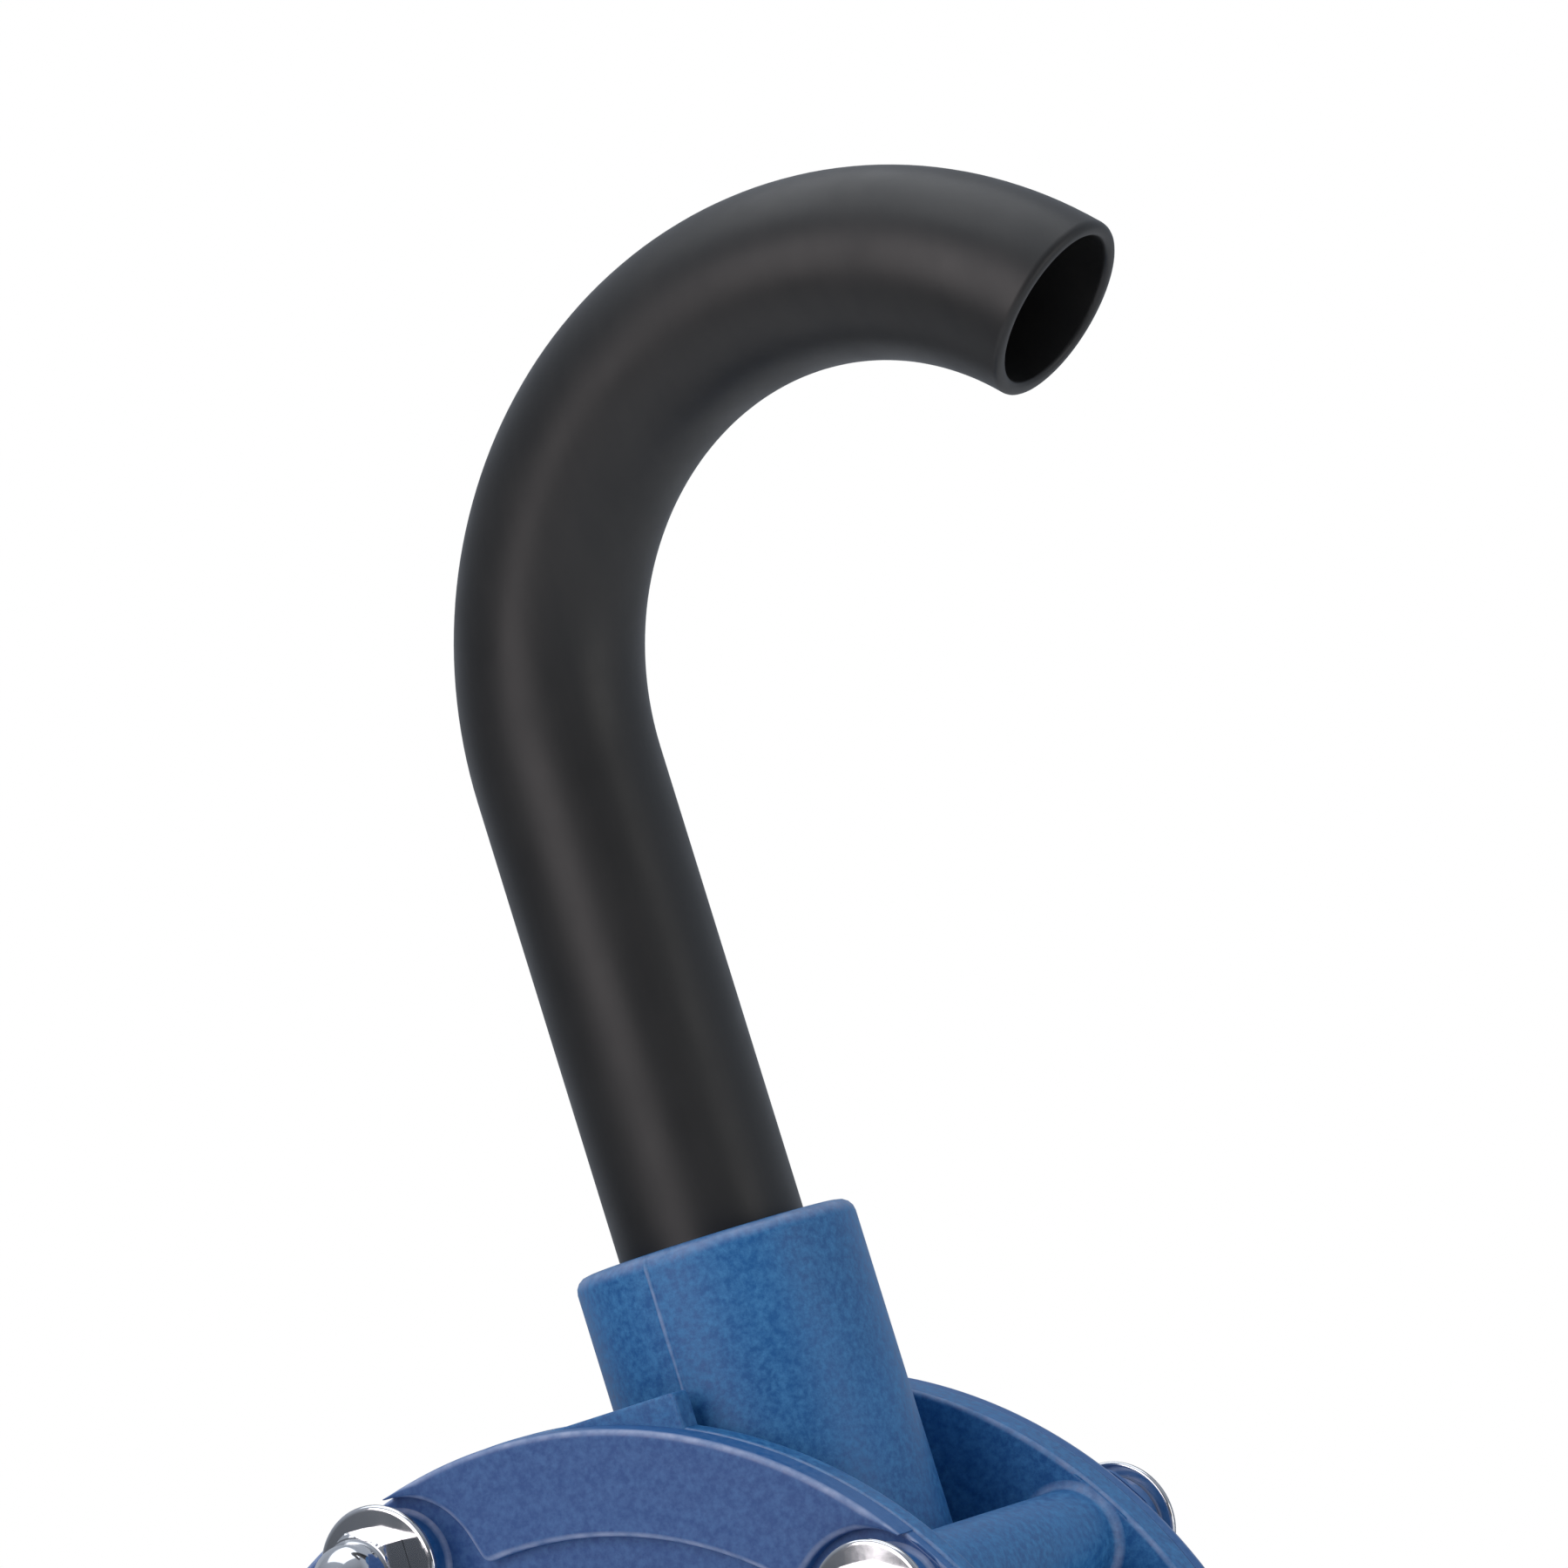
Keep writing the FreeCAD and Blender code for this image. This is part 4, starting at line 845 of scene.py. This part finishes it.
# %% Gland nut
def fluted(count, depth, low, high, rim):
    """Make a shape function: shallow flutes round a rim, fading out over a millimetre at each end."""
    def shape(angle, radius, station):
        fade = np.clip((station - low) / 1.2, 0, 1) * np.clip((high - station) / 1.2, 0, 1)
        dip = depth * (0.5 - 0.5 * np.cos(count * angle)) ** 0.7
        return radius - np.where(radius > rim - 1.3, dip * fade, 0)
    return shape


gland_rim = (gland_high[0] - gland_low[0]) / 2
gland = lathe(fine(*rounded([[8.6, gland_low[1]], [gland_rim, gland_low[1]], [gland_rim, gland_high[1]],
                             [20.1, gland_high[1]], [20.1, gland_low[1] + 3], [8.6, gland_low[1] + 3]],
                            [0.5, 1.4, 0.8, 0.4, 0, 0]), 1.5), CRANK, turns=320,
              shape=fluted(20, 1.0, gland_low[1] + 1.2, gland_high[1] - 0.8, gland_rim))
make_piece("fluted_gland_nut", [gland], "housing", casing_blue, ["gland_nut"])

# %% [markdown]
# ## Crank
# The arm is a flat steel bar with a round end at the shaft and a smaller one at the grip.  Its outline is
# the two circles with the straight sides that touch both.  Pressing leaves soft edges on it.


# %% Crank arm
def link_outline(big, small, length):
    """Two circles along -Z, joined by the lines that touch both: the lean is asin((big - small) / length)."""
    lean = math.asin((big - small) / length)
    upper = arc((0, 0), big, -lean, math.pi + lean, 1.2)
    lower = arc((0, -length), small, math.pi + lean, 2 * math.pi - lean, 1.2)
    return np.concatenate([upper, lower])


arm_mid = (arm_low[1] + arm_high[1]) / 2
front_half, front_edge = wall_profile(arm_mid, arm_low[1], crown=1.1)
back_half, back_edge = wall_profile(arm_mid, arm_high[1], crown=1.1)
arm_wall = (np.concatenate([back_half[::-1], front_half]), np.concatenate([back_edge[::-1], front_edge]))
arm_shell = slab(link_outline(15.0, 11.0, ARM_LENGTH), arm_wall, CRANK)
make_piece("crank_arm_bar", [arm_shell], "crank", zinc_plate, ["crank_arm"])


# %% Crank washer, nuts and the shaft's stud
def nut_on(centre, node, half_flats, bore):
    """A plain hexagon nut where the frame has one, chamfered at both ends."""
    low, high = corners_mm(node)
    return lathe(hex_profile(half_flats, low[1], high[1], bore), centre, turns=96,
                 shape=hexagonal(half_flats, low[1], high[1]))


crank_washer_low, crank_washer_high = corners_mm("crank_washer")
crank_washer = washer_profile(5.05, 11, crank_washer_low[1], crank_washer_high[1])
make_piece("crank_washer_ring", [lathe(crank_washer, CRANK)], "crank", zinc_plate, ["crank_washer"])
make_piece("crank_hex_nut", [nut_on(CRANK, "crank_nut", 8.5, 5.0)], "crank", zinc_plate,
           ["crank_nut"], crease=24)
make_piece("grip_hex_nut", [nut_on(PIN, "grip_nut", 8.5, 5.0)], "crank", zinc_plate,
           ["grip_nut"], crease=24)

# %% [markdown]
# ## Grip
# The grip is a moulded barrel that turns on its pin.  Its outline swells in the middle, as a smooth power
# of a sine, and shallow flutes run along it so that it does not slip in a wet hand.

# %% Grip
grip_start, grip_end = grip_low[1], grip_high[1]
along = np.linspace(0, 1, 60)
swell = 12.2 + 3.75 * np.sin(math.pi * along) ** 0.7
outside = np.stack([swell, grip_start + along * (grip_end - grip_start)], 1)
outside[0, 0], outside[-1, 0] = 10.6, 10.6
outside[1, 0], outside[-2, 0] = 12.3, 12.3
grip_points = np.concatenate([outside, [[5.1, grip_end], [5.1, grip_start]]])


def grip_flutes(angle, radius, station):
    """Ten shallow flutes that fade out towards both ends of the grip."""
    share = np.clip((station - grip_start) / (grip_end - grip_start), 0, 1)
    fade = np.clip(np.sin(math.pi * share) * 2.2 - 0.5, 0, 1)
    dip = 0.9 * (0.5 + 0.5 * np.cos(10 * angle)) ** 3
    return radius - np.where(radius > 10, dip * fade, 0)


grip_shell = lathe((grip_points, np.zeros(len(grip_points))), PIN, turns=240, shape=grip_flutes)
make_piece("fluted_grip", [grip_shell], "grip", moulded_black, ["grip"])

# %% [markdown]
# ## Bung adapter
# The adapter screws into a drum's two-inch bung.  Its thread has eleven turns to the inch, so the pitch
# is 2.309 mm, and it is 1.48 mm deep.  The radius follows a triangle wave of (station / pitch - angle /
# one turn), which is what makes the crests climb as a helix.

# %% Bung adapter and gasket
THREAD, PITCH, THREAD_DEPTH = 29.8, 2.309, 1.48
adapter_half = (adapter_high[1] - adapter_low[1]) / 2


def bung_thread(angle, radius, station):
    """Right-hand thread: a triangle wave that climbs one pitch in each turn and fades at both ends."""
    phase = (station / PITCH - angle / (2 * math.pi)) % 1
    tooth = np.clip(np.abs(phase - 0.5) * 2 * 1.3 - 0.15, 0, 1)
    fade = np.clip((station - adapter_low[2]) / 2.5, 0, 1) * np.clip((-0.6 - station) / 1.2, 0, 1)
    root = radius - THREAD_DEPTH * (1 - tooth * fade)
    return np.where((radius > THREAD - 0.2) & (station < -0.4), root, radius)


thread_rows = np.arange(adapter_low[2], -0.3, PITCH / 9)
thread_side = np.stack([np.full(len(thread_rows), THREAD), thread_rows], 1)
thread_inside = [[28.5, -0.3], [28.5, 2.4], [16.3, 2.4], [16.3, adapter_low[2]]]
thread_points = np.concatenate([thread_side, thread_inside])
thread_shell = lathe((thread_points, np.zeros(len(thread_points))), PORTS, axis="Z", turns=160,
                     shape=bung_thread)
hex_rows = np.unique(np.concatenate([np.linspace(2, 4.5, 7), np.linspace(17.5, 20, 7)]))
hex_side = np.stack([np.full(len(hex_rows), adapter_half / math.cos(math.pi / 6)), hex_rows], 1)
hex_points = np.concatenate([[[16.3, 2]], [[adapter_half - 0.8, 2]], hex_side, [[adapter_half - 0.8, 20]],
                             [[24.4, 20]], [[24.4, 6]], [[16.3, 6]]])
hex_shell = lathe((hex_points, np.zeros(len(hex_points))), PORTS, axis="Z", turns=192,
                  shape=hexagonal(adapter_half, 2, 20, slope=0.5))
make_piece("bung_adapter_moulding", [hex_shell, thread_shell], "housing", casing_blue,
           ["bung_adapter"], crease=24)
gasket_profile = rounded([[28.7, 0], [36, 0], [36, 2], [28.7, 2]], 0.6)
make_piece("bung_gasket_ring", [lathe(gasket_profile, PORTS, axis="Z", turns=160)],
           "housing", rubber_black, ["bung_gasket"])


# %% [markdown]
# ## Suction tube
# The suction tube is two pipes, one inside the other.  A collar at the end of the outer one holds the
# inner one at any length, and a slotted strainer keeps dirt out.

# %% Tubes and collar
def pipe_shell(radius, bore, low, high, spacing=6.0):
    """A straight pipe with softened ends."""
    return lathe(fine(*rounded([[radius, low], [radius, high], [bore, high], [bore, low]],
                               [0.7, 0.5, 0.4, 0.5]), spacing), PORTS, axis="Z", turns=96)


make_piece("upper_suction_pipe", [pipe_shell(tube_radius, tube_radius - wall, upper_low[2], upper_high[2])],
           "housing", pipe_black, ["suction_tube_upper"])
lower_radius = lower_high[0]
make_piece("lower_suction_pipe", [pipe_shell(lower_radius, lower_radius - 2.2, lower_low[2], lower_high[2])],
           "lower_tube", pipe_black, ["suction_tube_lower"])
collar_radius = collar_high[0]
collar_shell = lathe(fine(*rounded([[lower_radius + 0.08, collar_low[2]], [collar_radius - 3, collar_low[2]],
                                    [collar_radius, collar_low[2] + 5], [collar_radius, collar_high[2]],
                                    [tube_radius + 0.08, collar_high[2]], [tube_radius + 0.08, upper_low[2]],
                                    [lower_radius + 0.08, upper_low[2]]],
                                   [0.4, 1.0, 1.2, 1.2, 0.5, 0, 0]), 1.5), PORTS, axis="Z", turns=288,
                     shape=fluted(24, 0.9, collar_low[2] + 6, collar_high[2] - 2, collar_radius))
make_piece("fluted_tube_collar", [collar_shell], "housing", moulded_black, ["tube_collar"])


# %% Strainer
def curved_bar(inner, outer, low, high, start, end):
    """A bar bent round the ports' axis, between two angles: a slab whose height is the angle."""
    side, _ = rounded([[inner, low], [outer, low], [outer, high], [inner, high]], 0.5)
    angle = np.linspace(start, end, 9)[:, None]
    x, y = side[:, 0] * np.cos(angle), side[:, 0] * np.sin(angle)
    z = np.broadcast_to(side[:, 1], x.shape)
    return np.stack([x, y, z], -1) + PORTS, np.zeros(x.shape), "capped"


strainer_radius = strainer_high[0]
floor_top = strainer_low[2] + 3
slot_top = floor_top + 15
cup_floor = lathe(rounded([[0, strainer_low[2]], [strainer_radius, strainer_low[2]],
                           [strainer_radius, floor_top], [0, floor_top]], [0, 1.3, 0.3, 0]),
                  PORTS, axis="Z", turns=128)
sleeve = lathe(rounded([[11.05, slot_top], [strainer_radius, slot_top], [strainer_radius, strainer_high[2]],
                        [13.3, strainer_high[2]], [13.3, lower_low[2]], [11.05, lower_low[2]]],
                       [0, 0.4, 1.2, 0.4, 0, 0]), PORTS, axis="Z", turns=128)
slot_half = 2.0 / strainer_radius
bars = [curved_bar(11.05, strainer_radius - 0.02, floor_top - 0.5, slot_top + 0.5,
                   place + slot_half, place + math.pi / 4 - slot_half)
        for place in np.arange(8) * math.pi / 4]
make_piece("slotted_strainer", [cup_floor, sleeve, *bars], "lower_tube", moulded_black,
           ["strainer"])

# %% [markdown]
# ## Vane springs
# Each vane has two light coil springs behind it.  A coil is a small circle carried along a helix that
# points away from the crank's axis.


# %% Vane springs
def coil(angle, station, low, high, radius=2.2, wire=0.35, turns=5):
    """A helix along a ray from the crank's axis, with a round wire carried along it."""
    travel = np.linspace(0, 2 * math.pi * turns, 24 * turns)[:, None]
    around = np.linspace(0, 2 * math.pi, 8, endpoint=False)[None]
    climb = low + wire + (high - low - 2 * wire) * travel / travel[-1, 0]
    reach = radius + wire * np.cos(around)
    side, depth = reach * np.cos(travel), reach * np.sin(travel)
    out = climb + wire * np.sin(around)
    x = out * math.cos(angle) - side * math.sin(angle)
    z = out * math.sin(angle) + side * math.cos(angle)
    return np.stack([x, depth + station, z], -1) + CRANK, np.zeros(x.shape), "capped"


spring_shells = [coil(math.radians(45 + 90 * number), side * 16.0, 17.1, 21.3)
                 for number in range(4) for side in (-1, 1)]
make_piece("vane_spring_coils", spring_shells, "crank", ground_steel, ["vane_springs"])

# %% [markdown]
# ## Nodes that keep their shape
# The shaft, rotor, vanes, key, bushes and seals are already the right shape, so they only need their
# real materials.

# %% Materials for the frame's own nodes
KEPT = {
    ground_steel: ["shaft", "rotor_key", "grip_pin"],
    sintered_bronze: ["front_bush", "rear_bush"],
    rubber_black: ["front_cover_seal", "rear_cover_seal", "shaft_seal", "spout_seal", "inlet_seal",
                   "collar_seal"],
    rotor_grey: ["rotor"],
    vane_white: ["vane_1", "vane_2", "vane_3", "vane_4"],
}
for material, names in KEPT.items():
    for name in names:
        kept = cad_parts[name]
        kept.data.materials.clear()
        kept.data.materials.append(material)
print("kept nodes:", sum(len(names) for names in KEPT.values()))

# %% [markdown]
# ## Studio
# A plain pale floor, a white backdrop and three soft boxes, to the left, to the right and overhead, give
# the plastic soft highlights and give the chrome something to reflect.  The surround lights the pump only
# dimly, so the black pipe keeps dark edges.  The floor lies below the suction tube at its full length.


# %% Floor, surround and lights
def pale_floor():
    """A broad flat sheet under the pump, below the tube's longest reach."""
    level = cad_box[0][2] - 0.17
    mesh = bpy.data.meshes.new("pale_floor")
    half = 4
    corners = [(-half, -half, level), (half, -half, level), (half, half, level), (-half, half, level)]
    mesh.from_pydata(corners, [], [(0, 1, 2, 3)])
    material, tree, shader, place = start_material("pale_floor_paint", "#f4f4f3", 0.7)
    cloud = add_node(tree, NOISE, None, {"Vector": place, "Scale": per_mm(300), "Detail": 2,
                                         "Roughness": EVEN}, "Fac")
    colour = add_node(tree, MIX, COLOURS, {0: cloud, 6: linear("#f1f1f0"), 7: linear("#f6f6f5")}, 2)
    tree.links.new(colour, shader.inputs["Base Color"])
    mesh.materials.append(material)
    sheet = bpy.data.objects.new("pale_floor", mesh)
    bpy.context.scene.collection.objects.link(sheet)


def soft_light(name, place, aim, width, height, power, colour):
    """A rectangular area light at a place, pointing at an aim."""
    light = bpy.data.lights.new(name, "AREA")
    light.shape, light.size, light.size_y = "RECTANGLE", width, height
    light.energy, light.color = power, colour
    lamp = bpy.data.objects.new(name, light)
    direction = np.array(place, float) - np.array(aim, float)
    direction /= np.linalg.norm(direction)
    across = np.cross([0, 0, 1], direction)
    across /= np.linalg.norm(across)
    upward = np.cross(direction, across)
    turn = Matrix(np.stack([across, upward, direction], 1).tolist()).to_4x4()
    lamp.matrix_world = Matrix.Translation(place) @ turn
    lamp.visible_camera = False
    bpy.context.scene.collection.objects.link(lamp)


def surround():
    """World light: a white backdrop that lights the pump only dimly, and more from overhead."""
    world = bpy.data.worlds.new("studio_surround")
    world.use_nodes = True
    tree = world.node_tree
    ray = add_node(tree, "ShaderNodeTexCoord", output="Generated")
    parts = add_node(tree, "ShaderNodeSeparateXYZ", None, {"Vector": ray}).outputs
    front = add_node(tree, RANGE, None, {"Value": parts["Y"], "From Min": -0.45, "From Max": 0.35}, 0)
    height = add_node(tree, RANGE, None, {"Value": parts["Z"], "From Min": -0.2, "From Max": 0.9}, 0)
    share = add_node(tree, MATH, {"operation": "MAXIMUM"}, {0: front, 1: height}, 0)
    glow = add_node(tree, MIX, COLOURS, {0: share, 6: linear("#34373c"), 7: linear("#aeb5c0")}, 2)
    seen = add_node(tree, "ShaderNodeLightPath", output="Is Camera Ray")
    colour = add_node(tree, MIX, COLOURS, {0: seen, 6: glow, 7: linear("#ffffff")}, 2)
    tree.links.new(colour, tree.nodes["Background"].inputs["Color"])
    tree.nodes["Background"].inputs["Strength"].default_value = 1.0
    bpy.context.scene.world = world


pale_floor()
surround()
middle = (0.03, 0.0, 0.25)
soft_light("key_softbox", (-0.27, -1.93, 1.03), middle, 1.5, 1.6, 19, (1.0, 0.92, 0.92))
soft_light("side_softbox", (2.09, -0.05, -0.16), middle, 0.9, 1.3, 6, (1.0, 0.94, 0.88))
soft_light("overhead_softbox", (0.1, 0.2, 2.3), middle, 2.4, 2.4, 22, (0.96, 0.98, 1.0))
bpy.context.scene.view_settings.view_transform = "Standard"

# %% [markdown]
# ## Camera
# The pump is seen from the right of its crank side, a little above the crank's axis, through a long lens,
# and tilted so that it leans to the left.

# %% Camera
azimuth, elevation, roll = np.radians([28.34, -4.19, 17.26])
distance, lens = 1.6654, 231.3
aim = np.array([38.46, 0.0, 297.56]) * MM
backward = np.array([math.sin(azimuth) * math.cos(elevation), -math.cos(azimuth) * math.cos(elevation),
                     math.sin(elevation)])
right = np.array([math.cos(azimuth), math.sin(azimuth), 0.0])
upward = np.cross(backward, right)
camera_data = bpy.data.cameras.new("long_lens")
camera_data.lens, camera_data.sensor_width = lens, 36.0
camera = bpy.data.objects.new("long_lens", camera_data)
turned = np.stack([right * math.cos(roll) - upward * math.sin(roll),
                   right * math.sin(roll) + upward * math.cos(roll), backward], 1)
position = Matrix.Translation((aim + backward * distance).tolist())
camera.matrix_world = position @ Matrix(turned.tolist()).to_4x4()
bpy.context.scene.collection.objects.link(camera)
bpy.context.scene.camera = camera
